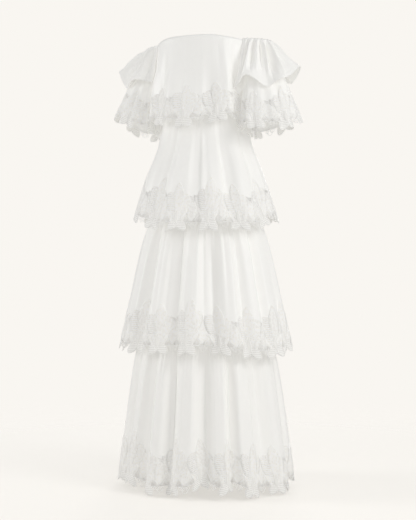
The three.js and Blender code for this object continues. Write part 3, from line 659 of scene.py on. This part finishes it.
def flounce_surface(sleeve):
    waves = sleeve["flounce"]

    def surface(share, down):
        share, down = paired(share, down)
        top = sleeve_top(share, 0, sleeve)
        degrees = 180 - 360 * share
        here, following, part = between(waves, "turn", degrees)
        ease = smoothstep(0, 1, part)
        reach = mix(waves["reach"][here], waves["reach"][following], ease)
        z = mix(waves["z"][here], waves["z"][following], ease)
        turn = np.radians(degrees)
        x = FLOUNCE_MIDDLE[0] + reach * np.cos(turn)
        y = FLOUNCE_MIDDLE[1] - reach * np.sin(turn)
        hem = np.stack([x, y, z], -1)
        gathered = (1 - down) * np.minimum(1, down / FLOUNCE_RIPPLE["full_at"])
        turns = 2 * np.pi * FLOUNCE_RIPPLE["count"] * share
        ripple = FLOUNCE_RIPPLE["height"] * gathered * np.cos(turns)
        outside = off_armhole(share)
        opening = smoothstep(0, FOLDS_OPEN_AT, down)
        creases = crease_height(sleeve["creases"], np.mod(share, 1), down, 1)
        fine = ripple + arm_gathers(share, down, *FLOUNCE_GATHERS)
        fine = fine + SLEEVE_FOLDS * outside * opening * creases
        tucked = TUCK["used"] * TUCK["depth"] * outside * np.sin(np.pi * np.clip(down, 0, 1))
        fine = np.maximum(fine, -(TUCK["spare"] + tucked))
        point = pushed(mix(top, hem, down[..., None]), hem, top, fine)
        wander = np.sin(2 * np.pi * PUCKERS["wander"] * share)
        puckers = np.sin(2 * np.pi * PUCKERS["count"] * share + wander)
        point[..., 2] += PUCKERS["height"] * outside * puckers * np.exp(-down / PUCKERS["reach"])
        point = clear_of_body(point, down, SEAM_GAP, CLEARANCE["upper"], sleeve["side"])
        return point * (sleeve["side"], 1, 1)

    return surface


def outward(points, mirrored=False):
    """The outward normals of a grid of points, columns across and rows down."""
    right = np.gradient(points, axis=0)
    below = np.gradient(points, axis=1)
    normal = unit(np.cross(below, right))
    return -normal if mirrored else normal


HEM_SAMPLES = 2400
PAST_ENDS = 0.2


def along_hem(surface, span, shares):
    """Places across a surface at given shares of the length of its hem, past its ends too."""
    start, end = span
    margin = PAST_ENDS * (end - start)
    places = np.linspace(start - margin, end + margin, HEM_SAMPLES)
    points = surface(places, np.ones_like(places))
    lengths = np.concatenate(([0], np.cumsum(np.linalg.norm(np.diff(points, axis=0), axis=1))))
    low, high = np.interp([start, end], places, lengths)
    return np.interp(mix(low, high, np.asarray(shares, float)), lengths, places), high - low


class HemCloth:
    """The cloth just above a hem, and on below it, for what is sewn along the hem."""

    COLUMNS, ROWS = 720, 90
    SHARES = (-0.15, 1.15)
    HIGHEST = 0.3  # the share of the way down at which the samples end
    ABOVE = 0.16
    BELOW = 0.04
    STEP = 0.004

    def __init__(self, surface, span, mirrored=False):
        self.shares = np.linspace(*self.SHARES, self.COLUMNS)
        places, self.length = along_hem(surface, span, self.shares)
        downs = np.linspace(1, self.HIGHEST, self.ROWS)
        column = surface(places[:, None], downs[None, :])
        steps = np.linalg.norm(np.diff(column, axis=1), axis=-1)
        reach = np.concatenate((np.zeros((len(places), 1)), np.cumsum(steps, 1)), 1)
        self.heights = np.arange(-self.BELOW, self.ABOVE + self.STEP, self.STEP)
        up = np.maximum(self.heights, 0)
        grid = np.empty((len(places), len(up), 3))
        for i in range(len(places)):
            for axis in range(3):
                grid[i, :, axis] = np.interp(up, reach[i], column[i, :, axis])
        falling = unit(column[:, 0] - column[:, 3])
        under = np.maximum(-self.heights, 0)
        grid += falling[:, None, :] * under[None, :, None]
        self.grid = grid
        self.normals = outward(grid[:, ::-1], mirrored)[:, ::-1]

    def at(self, share, height, lift):
        """Points at shares of the hem's length, heights over the hem, and lifted off the cloth."""
        share, height, lift = np.broadcast_arrays(share, height, lift)
        step = self.shares[1] - self.shares[0]
        i = np.clip((share - self.shares[0]) / step, 0, len(self.shares) - 1.001)
        j = np.clip((height - self.heights[0]) / self.STEP, 0, len(self.heights) - 1.001)
        i0, j0 = i.astype(int), j.astype(int)
        u, v = (i - i0)[..., None], (j - j0)[..., None]

        def sample(values):
            near = values[i0, j0] * (1 - u) + values[i0 + 1, j0] * u
            far = values[i0, j0 + 1] * (1 - u) + values[i0 + 1, j0 + 1] * u
            return near * (1 - v) + far * v

        normal = sample(self.normals)
        return sample(self.grid) + normal * lift[..., None], normal


def linked(name, data):
    made = bpy.data.objects.new(name, data)
    bpy.context.scene.collection.objects.link(made)
    return made


class Stock:
    """Points and faces gathered for one mesh."""

    def __init__(self):
        self.points, self.faces, self.kinds, self.count = [], [], [], 0

    def grid(self, points, closed=False, kind=0, flipped=False):
        columns, rows = points.shape[:2]
        index = self.count + np.arange(columns * rows).reshape(columns, rows)
        if closed:
            index = np.vstack([index, index[:1]])
        faces = np.stack([index[:-1, :-1], index[:-1, 1:], index[1:, 1:], index[1:, :-1]], -1)
        faces = faces.reshape(-1, 4)
        if flipped:
            faces = faces[:, ::-1]
        self.faces.extend(faces.tolist())
        self.kinds.extend([kind] * len(faces))
        self.points.append(points.reshape(-1, 3))
        self.count += columns * rows

    def cord(self, path, normal, radius, sides=4, closed=False, flat=1.0, kind=0):
        """A cord along a path, with its section's height set by the normals of what it lies on."""
        path, normal = np.asarray(path, float), np.asarray(normal, float)
        if closed:
            ahead, behind = np.roll(path, -1, 0), np.roll(path, 1, 0)
        else:
            ahead = np.vstack([path[1:], path[-1:]])
            behind = np.vstack([path[:1], path[:-1]])
        tangent = unit(ahead - behind)
        side = unit(np.cross(tangent, normal))
        up = np.cross(side, tangent)
        turns = 2 * np.pi * np.arange(sides) / sides
        wide, tall = np.cos(turns)[None, :, None], np.sin(turns)[None, :, None]
        ring = side[:, None] * wide + flat * up[:, None] * tall
        points = path[:, None] + radius * ring
        index = self.count + np.arange(len(path) * sides).reshape(len(path), sides)
        if not closed:
            self.faces.append(index[0].tolist())
            self.faces.append(index[-1, ::-1].tolist())
            self.kinds.extend([kind, kind])
        looped = np.vstack([index, index[:1]]) if closed else index
        looped = np.hstack([looped, looped[:, :1]])
        faces = np.stack([looped[:-1, :-1], looped[1:, :-1], looped[1:, 1:], looped[:-1, 1:]], -1)
        faces = faces.reshape(-1, 4)
        self.faces.extend(faces.tolist())
        self.kinds.extend([kind] * len(faces))
        self.points.append(points.reshape(-1, 3))
        self.count += len(path) * sides

    def object(self, name, materials):
        mesh = bpy.data.meshes.new(name)
        mesh.from_pydata(np.concatenate(self.points).tolist(), [], self.faces)
        for material in materials:
            mesh.materials.append(material)
        mesh.polygons.foreach_set("material_index", self.kinds)
        mesh.polygons.foreach_set("use_smooth", [True] * len(mesh.polygons))
        mesh.update()
        return linked(name, mesh)


def thicken(piece, thickness, offset=-1):
    shell = piece.modifiers.new("Thickness", "SOLIDIFY")
    shell.thickness = thickness
    shell.offset = offset
    shell.use_even_offset = False
    return piece


# Materials.
def plug(tree, made, inputs):
    """Sets a node's inputs: a socket is linked, and another value is written in."""
    for key, value in inputs.items():
        if isinstance(value, bpy.types.NodeSocket):
            tree.links.new(value, made.inputs[key])
        else:
            made.inputs[key].default_value = value


def node(tree, kind, inputs=None, **settings):
    made = tree.nodes.new("ShaderNode" + kind)
    for key, value in settings.items():
        setattr(made, key, value)
    plug(tree, made, inputs or {})
    return made


def ranged(tree, value, start, end, to_start=0.0, to_end=1.0, **settings):
    """A value's range mapped to another."""
    ends = {"From Min": start, "From Max": end, "To Min": to_start, "To Max": to_end}
    made = node(tree, "MapRange", {"Value": value, **ends}, **settings)
    return made.outputs[0]


def maths(tree, operation, *values):
    made = node(tree, "Math", dict(enumerate(values)), operation=operation)
    return made.outputs[0]


def new_material(name):
    material = bpy.data.materials.new(name)
    material.use_nodes = True
    tree = material.node_tree
    return material, tree, tree.nodes["Principled BSDF"]


def show_mixed(tree, share, first, second):
    """Sends two mixed shaders to the material's output."""
    both = node(tree, "MixShader", {0: share, 1: first.outputs[0], 2: second.outputs[0]})
    tree.links.new(both.outputs[0], tree.nodes["Material Output"].inputs["Surface"])


def grain(tree, place, stretch, scale, detail=2.0):
    """Noise stretched along an axis, as threads are."""
    mapping = node(tree, "Mapping", {"Vector": place, "Scale": stretch})
    made = node(
        tree, "TexNoise", {"Vector": mapping.outputs[0], "Scale": scale, "Detail": detail}
    )
    return made.outputs[0]


TRANSLUCENCY = 0.04
PAINTED_GLOW = 0.135  # painted glow: emission on every cloth in its own tone, standing in for light that comes through thin white cloth from all round; it lifts the shade in creases and under hems
CLOUD = {"scale": 14, "detail": 3, "low": 0.3, "high": 0.7}
TONE = (1.1, 1.9)
MOTIF = {"gain": 2.6, "shift": -0.3, "detail": 4}
GLOSS = (-0.04, 0.05)
THREAD_STRETCH = {"slub": (1, 1, 0.06), "weft": (0.15, 0.15, 1)}
SPECULAR = 0.4
SHEEN_ROUGHNESS = 0.4


def cloth_material(
    name, light, dark, roughness, sheen, thread, weave, bump, alpha=1.0, motif=None
):
    """Cloth: two close tones, threads both ways or a lace motif, a soft uneven gloss, and a faint painted glow in its
    own tone.
    """
    material, tree, shader = new_material(name)
    place = node(tree, "TexCoord").outputs["Object"]
    cloud = grain(tree, place, (1, 1, 0.5), CLOUD["scale"], CLOUD["detail"])
    if motif:
        worked = grain(tree, place, (1, 1, 1), motif, MOTIF["detail"])
        threads = maths(tree, "MULTIPLY_ADD", worked, MOTIF["gain"], MOTIF["shift"])
    else:
        slub, weft = (grain(tree, place, way, thread) for way in THREAD_STRETCH.values())
        threads = maths(tree, "ADD", slub, weft)
    tone = ranged(tree, maths(tree, "ADD", cloud, threads), *TONE)
    mixed = node(tree, "Mix", {"Factor": tone}, data_type="RGBA")
    mixed.inputs["A"].default_value = (*dark, 1)
    mixed.inputs["B"].default_value = (*light, 1)
    colour = mixed.outputs["Result"]
    duller, glossier = (roughness + change for change in GLOSS)
    gloss = ranged(tree, cloud, CLOUD["low"], CLOUD["high"], duller, glossier)
    relief = node(
        tree, "Bump", {"Height": threads, "Strength": bump, "Distance": weave}
    )
    looks = {
        "Base Color": colour,
        "Roughness": gloss,
        "Normal": relief.outputs[0],
        "Specular IOR Level": SPECULAR,
        "Sheen Weight": sheen,
        "Sheen Roughness": SHEEN_ROUGHNESS,
        "Alpha": alpha,
        # A painted glow in the cloth's own tone, which lifts its shade evenly.
        "Emission Color": colour,
        "Emission Strength": PAINTED_GLOW,
    }
    plug(tree, shader, looks)
    through = node(tree, "BsdfTranslucent", {"Color": colour})
    show_mixed(tree, TRANSLUCENCY * alpha, shader, through)
    return material


# Light and dark tone, roughness, sheen, size of the threads, depth and strength of the relief.
SATIN = cloth_material(
    "satin", (0.93, 0.925, 0.905), (0.905, 0.9, 0.88), 0.38, 0.1, 900, 0.0002, 0.22
)
LINING = cloth_material(
    "lining", (0.9, 0.895, 0.875), (0.87, 0.865, 0.845), 0.55, 0.08, 900, 0.0002, 0.2
)
LACE = cloth_material(
    "lace", (0.93, 0.922, 0.9), (0.83, 0.822, 0.798), 0.6, 0.15, 420, 0.0009, 0.5, motif=150
)
NET = cloth_material(
    "lace_net", (0.91, 0.902, 0.88), (0.81, 0.802, 0.778), 0.65, 0.15, 520, 0.0009, 0.5, motif=190
)
SHEER = cloth_material(
    "sheer_lace", (0.9, 0.893, 0.87), (0.86, 0.853, 0.83), 0.7, 0.15, 420, 0.0004, 0.4, 0.88
)
CORD = cloth_material(
    "lace_cord", (0.955, 0.95, 0.935), (0.92, 0.915, 0.9), 0.45, 0.15, 700, 0.0003, 0.4
)
THREAD = cloth_material(
    "thread", (0.94, 0.935, 0.915), (0.9, 0.895, 0.875), 0.5, 0.1, 900, 0.0002, 0.2
)

CLOTH = 0.0008  # the shell's thickness
STITCHES = {"heights": (0.0095, 0.013), "step": 0.0042, "length": 0.003, "radius": 0.0003}
STITCH_LIFT = 0.0001
TURNED_EDGE = {"points": 400, "height": 0.0006, "radius": 0.0009}
HALVES = {"front": (-90, 90), "back": (90, 270)}
TUBE_ROUND, SLEEVE_ROUND = (-90, 270), (0, 1)


def dressed(piece, slot, *nodes):
    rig.ride(piece, "root")
    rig.slot(piece, slot)
    if nodes:
        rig.replaces(piece, *nodes)
    return piece


def half_range(half, width):
    edge = math.degrees(SEAM_GAP / 2 / width)
    start, end = HALVES[half]
    return start + edge, end - edge


def add_panel(node_name, slot, surface, span, grid, ring=False, mirrored=False, flowers=0):
    """A cloth shell in place of its solid, evenly spaced along its hem and scalloped there."""
    columns, rows = grid
    shares = np.arange(columns) / columns if ring else np.linspace(0, 1, columns)
    places, _ = along_hem(surface, span, shares)
    points = surface(places[:, None], np.linspace(0, 1, rows)[None, :])
    if flowers:
        hem = points[:, -1] - points[:, -2]
        step = np.linalg.norm(hem, axis=-1)
        points[:, -1] -= hem * np.minimum(scallop(shares, flowers) / step, 0.9)[:, None]
    stock = Stock()
    stock.grid(points, closed=ring, flipped=mirrored)
    material = {"satin": SATIN, "lining": LINING}[slot]
    piece = thicken(stock.object(f"{node_name}_satin", [material]), CLOTH)
    return dressed(piece, slot, node_name)


# Flowers of the lace: each petal's base and tip as shares of the flower's width and height, or of
# its drop below the hem, its half width, fullest place, and how round it is (1 is pointed).
PLAIN, LADDER, BARS, VEINS, INNER = range(5)
PETALS = table(
    "base_x base_y tip_x tip_y width fullest power bend layer marks",
    (0.43, 0.02, 0.49, 0.56, 0.165, 0.52, 0.62, 0.00, 0, VEINS),
    (0.05, 0.20, 0.26, -1.00, 0.135, 0.62, 0.55, 0.06, 1, BARS),
    (-0.05, 0.20, -0.24, -1.00, 0.135, 0.62, 0.55, -0.06, 1, BARS),
    (0.05, 0.06, 0.31, 0.72, 0.235, 0.60, 0.52, -0.05, 2, VEINS),
    (-0.05, 0.06, -0.32, 0.75, 0.245, 0.60, 0.50, 0.05, 3, LADDER),
    (0.00, 0.14, 0.015, 1.00, 0.180, 0.55, 0.66, 0.03, 4, INNER),
    (0.16, 0.00, 0.30, 0.30, 0.060, 0.55, 0.80, -0.03, 5, PLAIN),
    (-0.15, 0.00, -0.32, 0.27, 0.060, 0.55, 0.80, 0.03, 5, PLAIN),
    (0.00, 0.30, 0.00, -0.20, 0.060, 0.60, 0.80, 0.02, 5, PLAIN),
)
FLOWER_SIZES = (1.02, 0.93, 1.08, 0.97, 1.1, 0.94, 1.0)
FLOWER_TILTS = (0.03, -0.04, 0.02, -0.02, 0.04, -0.03, 0.01)
POPOVER_LACE = {"flowers": 5, "height": 0.092, "drop": 0.022}
TIER_1_LACE = {"flowers": 7, "height": 0.118, "drop": 0.024}
TIER_2_LACE = {"flowers": 8, "height": 0.12, "drop": 0.024}
TIER_3_LACE = {"flowers": 9, "height": 0.122, "drop": 0.024}
SLEEVE_LACE = {"flowers": 6, "height": 0.098, "drop": 0.022}
PETAL_ROWS, PETAL_COLUMNS = 12, 7
PETAL_SWELL = 0.0003
LEAST_HALF_WIDTH = 0.0004
PETAL_THICKNESS = 0.0004
LAYER = 0.00022
FIRST_LAYER = 0.0005
CORD_RADIUS = 0.0008
RIM_OVER = 0.0005
FINE_CORD = 0.0006
LADDER_BARS = {"step": 0.0056, "radius": 0.0013, "flat": 0.5, "share": 0.62}
SMALL_BARS = {"step": 0.005, "radius": 0.0008, "flat": 0.6, "share": 1.0}
BAR = {"inset": 0.0014, "shortest": 0.005, "points": 5, "lift": 0.0004}
# The veins of a kind of petal: their parts of its half width, and the rows they run over.
VEIN_ROWS = {VEINS: ((-0.45, 0.0, 0.45), slice(2, -3)), INNER: ((-0.5, 0.5), slice(2, -2))}
# The net that carries the flowers: its height along one flower, as a share of the flower's.
NET_HEIGHT = {"between": 0.62, "under": 0.7, "wave": 0.03}
NET_COLUMNS, NET_ROWS = 16, 4
NET_LIFT = 0.0003
HEM_CORD = {"radius": 0.0009, "lift": 0.0002, "points": 40}
SCALLOP = {"depth": 0.005, "reach": 0.2}


def scallop(shares, flowers):
    """How far the satin is cut up into a scallop between two flowers."""
    place = np.mod(shares * flowers, 1)
    edge = np.minimum(place, 1 - place)
    return SCALLOP["depth"] * (1 - smoothstep(0, SCALLOP["reach"], edge))


def petal_shape(petal, size, pitch, lace, tilt):
    """A petal's places down its length, centre line, half widths and direction across."""
    t = 0.5 - 0.5 * np.cos(np.linspace(0, np.pi, PETAL_ROWS))

    def over_hem(y):
        return y * (lace["height"] * size if y > 0 else lace["drop"] * size)

    base = np.array([petal["base_x"] * pitch, over_hem(petal["base_y"])])
    tip = np.array([petal["tip_x"] * pitch, over_hem(petal["tip_y"])])
    tip[0] += tilt * tip[1] * 2
    along = (tip - base) / np.linalg.norm(tip - base)
    across = np.array([along[1], -along[0]])
    bend = petal["bend"] * pitch * np.sin(np.pi * t)
    centre = base + t[:, None] * (tip - base) + bend[:, None] * across
    swell = t ** (math.log(0.5) / math.log(petal["fullest"]))
    half = petal["width"] * pitch * np.maximum(np.sin(np.pi * swell), 0) ** petal["power"]
    return t, centre, np.maximum(half, LEAST_HALF_WIDTH), across


def add_petal(leaves, cords, place, petal, shape, mirrored):
    t, centre, half, across = shape
    spread = np.linspace(-1, 1, PETAL_COLUMNS)
    xy = centre[:, None] + across * (half[:, None] * spread)[..., None]
    raised = PETAL_SWELL * (1 - spread**2) * np.sin(np.pi * t)[:, None]
    level_lift = FIRST_LAYER + LAYER * petal["layer"]
    lift = level_lift + raised
    points, _ = place(xy, lift)
    marks = petal["marks"]
    kind = SHEER_SLOT if petal["tip_y"] < 0 else NET_SLOT if marks == LADDER else LACE_SLOT
    leaves.grid(points, kind=kind, flipped=mirrored)
    rim = np.concatenate([xy[:, 0], xy[::-1, -1]])
    path, normal = place(rim, np.full(len(rim), level_lift / 2))
    tall = (level_lift / 2 + RIM_OVER) / CORD_RADIUS
    cords.cord(path, normal, CORD_RADIUS, sides=6, closed=True, flat=tall)
    if marks in (LADDER, BARS):
        add_bars(cords, place, xy, lift, LADDER_BARS if marks == LADDER else SMALL_BARS)
    parts, rows = VEIN_ROWS.get(marks, ((), None))
    for part in parts:
        add_vein(cords, place, shape, lift, part, rows)


def add_vein(cords, place, shape, lift, part, rows):
    """A fine cord down a petal, at a part of its half width."""
    _, centre, half, across = shape
    line = (centre + across * (half * part)[:, None])[rows]
    path, normal = place(line, lift[rows, lift.shape[1] // 2])
    cords.cord(path, normal, FINE_CORD)


def add_bars(cords, place, xy, lift, bars):
    """Level bars of thick stitching across a petal, over a share of its width from the left."""
    left, right = xy[:, 0], xy[:, -1]
    if left[0, 1] > left[-1, 1]:
        left, right, lift = left[::-1], right[::-1], lift[::-1]
    low = max(left[1, 1], right[1, 1])
    high = min(left[-2, 1], right[-2, 1])
    for y in np.arange(low + 0.5 * bars["step"], high, bars["step"]):
        start, end = sorted(np.interp(y, edge[:, 1], edge[:, 0]) for edge in (left, right))
        start, end = start + BAR["inset"], mix(start, end, bars["share"]) - BAR["inset"]
        if end - start < BAR["shortest"]:
            continue
        x = np.linspace(start, end, BAR["points"])
        over = np.interp(y, left[:, 1], lift[:, lift.shape[1] // 2]) + BAR["lift"]
        path, normal = place(np.stack([x, np.full_like(x, y)], -1), np.full_like(x, over))
        cords.cord(path, normal, bars["radius"], flat=bars["flat"])


def add_flower(leaves, cords, cloth, lace, number, mirrored):
    size = FLOWER_SIZES[number % len(FLOWER_SIZES)]
    tilt = FLOWER_TILTS[number % len(FLOWER_TILTS)]
    pitch = cloth.length / lace["flowers"]
    middle = (number + 0.5) / lace["flowers"]

    def place(xy, lift):
        xy = np.asarray(xy)
        return cloth.at(middle + xy[..., 0] / cloth.length, xy[..., 1], lift)

    x = np.linspace(-0.5, 0.5, NET_COLUMNS)
    under = smoothstep(0.5, 0.2, np.abs(x))
    top = mix(NET_HEIGHT["between"], NET_HEIGHT["under"], under)
    top = top + NET_HEIGHT["wave"] * np.sin(6 * np.pi * x)
    y = (top * lace["height"] * size)[:, None] * np.linspace(1, 0, NET_ROWS)
    xy = np.stack(np.broadcast_arrays((x * pitch)[:, None], y), -1)
    points, _ = place(xy, NET_LIFT)
    leaves.grid(points, kind=NET_SLOT, flipped=mirrored)
    for row in range(len(PETALS["layer"])):
        petal = {key: values[row] for key, values in PETALS.items()}
        shape = petal_shape(petal, size, pitch, lace, tilt)
        add_petal(leaves, cords, place, petal, shape, mirrored)
    add_stems(cords, place, pitch, lace["height"] * size)
    add_loops(cords, place, pitch, lace["drop"] * size)


# Two pairs of stems that cross under a flower: where they start, how far they run in, and their
# low end and rise, as shares of the flower.
STEMS = ((0.48, 0.62, 0.02, 0.3), (0.4, 0.26, 0.24, -0.2))
STEM = {"points": 8, "arch": 0.08, "layer": 5.5, "apart": 0.0003, "radius": 0.9 * CORD_RADIUS}


def add_stems(cords, place, pitch, height):
    t = np.linspace(0, 1, STEM["points"])
    lift = np.full_like(t, FIRST_LAYER + STEM["layer"] * LAYER)
    for side in (-1, 1):
        for start, run, low, rise in STEMS:
            x = side * pitch * (start - run * t)
            y = height * (low + rise * t + STEM["arch"] * np.sin(np.pi * t))
            path, normal = place(np.stack([x, y], -1), lift + STEM["apart"] * side)
            cords.cord(path, normal, STEM["radius"])


# Open loops below a hem: their place across the flower, radius and height of the middle, drawn
# for a drop of LOOP_DROP.
LOOPS = (
    (0.5, 0.0074, -0.0088), (0.428, 0.0046, -0.005), (-0.425, 0.005, -0.0056),
    (0, 0.0052, -0.006), (0.35, 0.0036, -0.004),
)
LOOP_DROP = 0.024
LOOP_LIFT = 0.001
LOOP_TURNS = 2 * np.pi * np.arange(14) / 14


def add_loops(cords, place, pitch, drop):
    scale = drop / LOOP_DROP
    for x, radius, y in LOOPS:
        across = x * pitch + radius * scale * np.cos(LOOP_TURNS)
        ring = np.stack([across, y * scale + radius * scale * np.sin(LOOP_TURNS)], -1)
        path, normal = place(ring, np.full_like(across, LOOP_LIFT))
        cords.cord(path, normal, CORD_RADIUS, closed=True)


LACE_SLOT, SHEER_SLOT, NET_SLOT = range(3)


def add_lace(node_name, surface, span, lace, area, ring=False, mirrored=False):
    """The flower lace of one hem: the petals as one piece, their cords as another."""
    cloth = HemCloth(surface, span, mirrored)
    leaves, cords = Stock(), Stock()
    for number in range(lace["flowers"]):
        add_flower(leaves, cords, cloth, lace, number, mirrored)
    shares = np.linspace(0, 1, HEM_CORD["points"] * lace["flowers"], endpoint=not ring)
    hem, normal = cloth.at(shares, scallop(shares, lace["flowers"]), HEM_CORD["lift"])
    cords.cord(hem, normal, HEM_CORD["radius"], closed=ring)
    petals = leaves.object(f"{node_name}_petals", [LACE, SHEER, NET])
    thicken(petals, PETAL_THICKNESS, 1)
    cording = cords.object(f"{node_name}_cording", [CORD])
    dressed(petals, "lace", node_name)
    dressed(cording, "lace")
    declare(petals, cloth.length, lace["height"] + lace["drop"], area, [cording])


def add_stitches(name, surface, mirrored):
    """Two rows of stitches and a turned edge along a flounce's hem."""
    cloth = HemCloth(surface, SLEEVE_ROUND, mirrored)
    stitches = Stock()
    count = round(cloth.length / STITCHES["step"])
    stitch = STITCHES["length"] / cloth.length * np.linspace(0, 1, 3)
    for height in STITCHES["heights"]:
        for start in np.arange(count) / count:
            path, normal = cloth.at(start + stitch, height, STITCH_LIFT)
            stitches.cord(path, normal, STITCHES["radius"])
    shares = np.arange(TURNED_EDGE["points"]) / TURNED_EDGE["points"]
    path, normal = cloth.at(shares, TURNED_EDGE["height"], -CLOTH / 2)
    stitches.cord(path, normal, TURNED_EDGE["radius"], sides=6, closed=True, kind=1)
    return dressed(stitches.object(f"{name}_stitches", [THREAD, SATIN]), "satin")


def declare(piece, width, length, area, with_pieces=()):
    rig.sheet(piece, (width, length), "hung", area=area, with_pieces=with_pieces)


def add_tier(name, tube, lace, grid, cut, lace_area):
    surface = tube_surface(tube)
    for half in HALVES:
        span = half_range(half, tube["sections"]["side"][0])
        node_name = f"{name}_{half}"
        piece = add_panel(node_name, "satin", surface, span, grid, flowers=lace["flowers"])
        declare(piece, *cut)
        add_lace(f"{name}_lace_{half}", surface, span, lace, lace_area)


add_tier("popover", popover, POPOVER_LACE, (160, 38), (0.5, 0.27, 0.098), 0.052)
add_tier("tier_1", tier_1, TIER_1_LACE, (170, 38), (0.66, 0.33, 0.155), 0.088)
add_tier("tier_2", tier_2, TIER_2_LACE, (220, 36), (0.8, 0.4, 0.26), 0.108)
add_tier("tier_3", tier_3, TIER_3_LACE, (250, 36), (0.89, 0.42, 0.32), 0.122)

for half in HALVES:
    span = half_range(half, BODICE["side"][0])
    piece = add_panel(f"bodice_{half}", "lining", tube_surface(bodice), span, (70, 14))
    declare(piece, 0.4, 0.22, 0.075)
for name, tube, cut in (
    ("underskirt_upper", upper_slip, (0.86, 0.28, 0.21)),
    ("underskirt_lower", lower_slip, (1.12, 0.37, 0.355)),
):
    piece = add_panel(name, "lining", tube_surface(tube), TUBE_ROUND, (96, 8), ring=True)
    declare(piece, *cut)

for side, sleeve in SLEEVES.items():
    mirrored = sleeve["side"] < 0
    whole = {"ring": True, "mirrored": mirrored}
    name, surface = f"sleeve_{side}", sleeve_surface(sleeve)
    flowers = SLEEVE_LACE["flowers"]
    piece = add_panel(name, "satin", surface, SLEEVE_ROUND, (200, 26), flowers=flowers, **whole)
    declare(piece, 0.62, 0.25, 0.1)
    add_lace(f"{name}_lace", surface, SLEEVE_ROUND, SLEEVE_LACE, 0.07, **whole)
    name, surface = f"{name}_flounce", flounce_surface(sleeve)
    piece = add_panel(name, "satin", surface, SLEEVE_ROUND, (280, 28), **whole)
    declare(piece, 0.62, 0.13, 0.066, [add_stitches(name, surface, mirrored)])


# The floor, the light and the camera.
BACKGROUND = (0.947, 0.922, 0.88)
FLOOR = {"below": 0.004, "radius": 2.4, "fades_from": 0.8, "corners": 96, "glow": 0.22}
FLOOR_COLOUR = (0.9, 0.88, 0.845, 1)
DIM_FLOOR = (0.76, 0.743, 0.714, 1)
SKY = {"colour": (0.98, 0.975, 0.962, 1), "dark": 0.4, "bright": 0.64}
SKY_KEY = (0.916, 0.074, 0.4)
# Each light: where it stands, what it points at, its size and its watts.
LIGHTS = {
    "key": ((3.1, -0.9, 0.7), (0, 0, -0.6), 1.4, 25),
    "fill_front": ((1.8, -3.1, 0.4), (0, 0, -0.6), 1.8, 9),
    "fill_back": ((-1.2, 3.4, 0.4), (0, 0, -0.6), 1.8, 26),
    "fill_left": ((-3.3, -1.6, 0.4), (0, 0, -0.5), 1.4, 36),
}
CAMERA = {"turn": 27, "distance": 3.6, "height": -0.604, "lens": 85.9}
FRAMING = {"right": 3 / 520, "up": -10 / 520}


def make_floor(z):
    mesh = bpy.data.meshes.new("floor")
    turns = 2 * math.pi * np.arange(FLOOR["corners"]) / FLOOR["corners"]
    edge = [(FLOOR["radius"] * math.cos(a), FLOOR["radius"] * math.sin(a), z) for a in turns]
    mesh.from_pydata(edge, [], [list(range(len(edge)))])
    material, tree, shader = new_material("floor")
    place = node(tree, "TexCoord").outputs["Object"]
    far = node(tree, "VectorMath", {0: place}, operation="LENGTH").outputs["Value"]
    ends = (FLOOR["fades_from"], FLOOR["radius"], 1, 0)
    looks = {
        "Base Color": FLOOR_COLOUR,
        "Roughness": 0.9,
        "Specular IOR Level": 0.0,
        "Emission Color": (*BACKGROUND, 1),
        "Emission Strength": FLOOR["glow"],
        "Alpha": ranged(tree, far, *ends, interpolation_type="SMOOTHSTEP"),
    }
    plug(tree, shader, looks)
    # The floor throws less light up at the hem than a real one, as a far larger studio does.
    dim = node(tree, "BsdfDiffuse", {"Color": DIM_FLOOR})
    ray = node(tree, "LightPath").outputs["Is Camera Ray"]
    show_mixed(tree, ray, dim, shader)
    mesh.materials.append(material)
    floor = linked("floor", mesh)
    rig.stage(floor)


def make_world():
    """An even pale backdrop, with a softer light that comes mostly from the right front."""
    world = bpy.data.worlds.new("studio")
    bpy.context.scene.world = world
    world.use_nodes = True
    tree = world.node_tree
    tree.nodes.clear()
    ray = node(tree, "LightPath").outputs["Is Camera Ray"]
    way = node(tree, "TexCoord").outputs["Generated"]
    facing = node(tree, "VectorMath", {0: way, 1: SKY_KEY}, operation="DOT_PRODUCT")
    shade = ranged(tree, facing.outputs["Value"], -1, 1, SKY["dark"], SKY["bright"])
    seen = node(tree, "Background", {"Color": (*BACKGROUND, 1), "Strength": 1.0})
    light = node(tree, "Background", {"Color": SKY["colour"], "Strength": shade})
    both = node(tree, "MixShader", {0: ray, 1: light.outputs[0], 2: seen.outputs[0]})
    node(tree, "OutputWorld", {"Surface": both.outputs[0]})


def add_light(name, place, target, size, watts):
    data = bpy.data.lights.new(name, "AREA")
    data.shape = "DISK"
    data.size = size
    data.energy = watts
    made = linked(name, data)
    made.location = place
    away = (np.array(place) - np.array(target)).tolist()
    made.rotation_euler = Vector(away).to_track_quat("Z", "Y").to_euler()


def add_camera():
    data = bpy.data.cameras.new("camera")
    data.lens = CAMERA["lens"]
    data.sensor_width = 36
    data.shift_x, data.shift_y = FRAMING["right"], FRAMING["up"]
    camera = linked("camera", data)
    turn, distance = math.radians(CAMERA["turn"]), CAMERA["distance"]
    across, ahead = distance * math.sin(turn), -distance * math.cos(turn)
    camera.location = (across, ahead, CAMERA["height"])
    camera.rotation_euler = (math.pi / 2, 0, turn)
    scene = bpy.context.scene
    scene.camera = camera
    scene.view_settings.view_transform = "Standard"
    scene.view_settings.look = "None"


make_floor(cad_low.z - FLOOR["below"])
make_world()
for name, light in LIGHTS.items():
    add_light(name, *light)
add_camera()

low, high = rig.bounds()
sizes = {"cad": [list(cad_low), list(cad_high)], "visual": [list(low), list(high)]}
with open("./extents.json", "w") as out:
    json.dump(sizes, out)
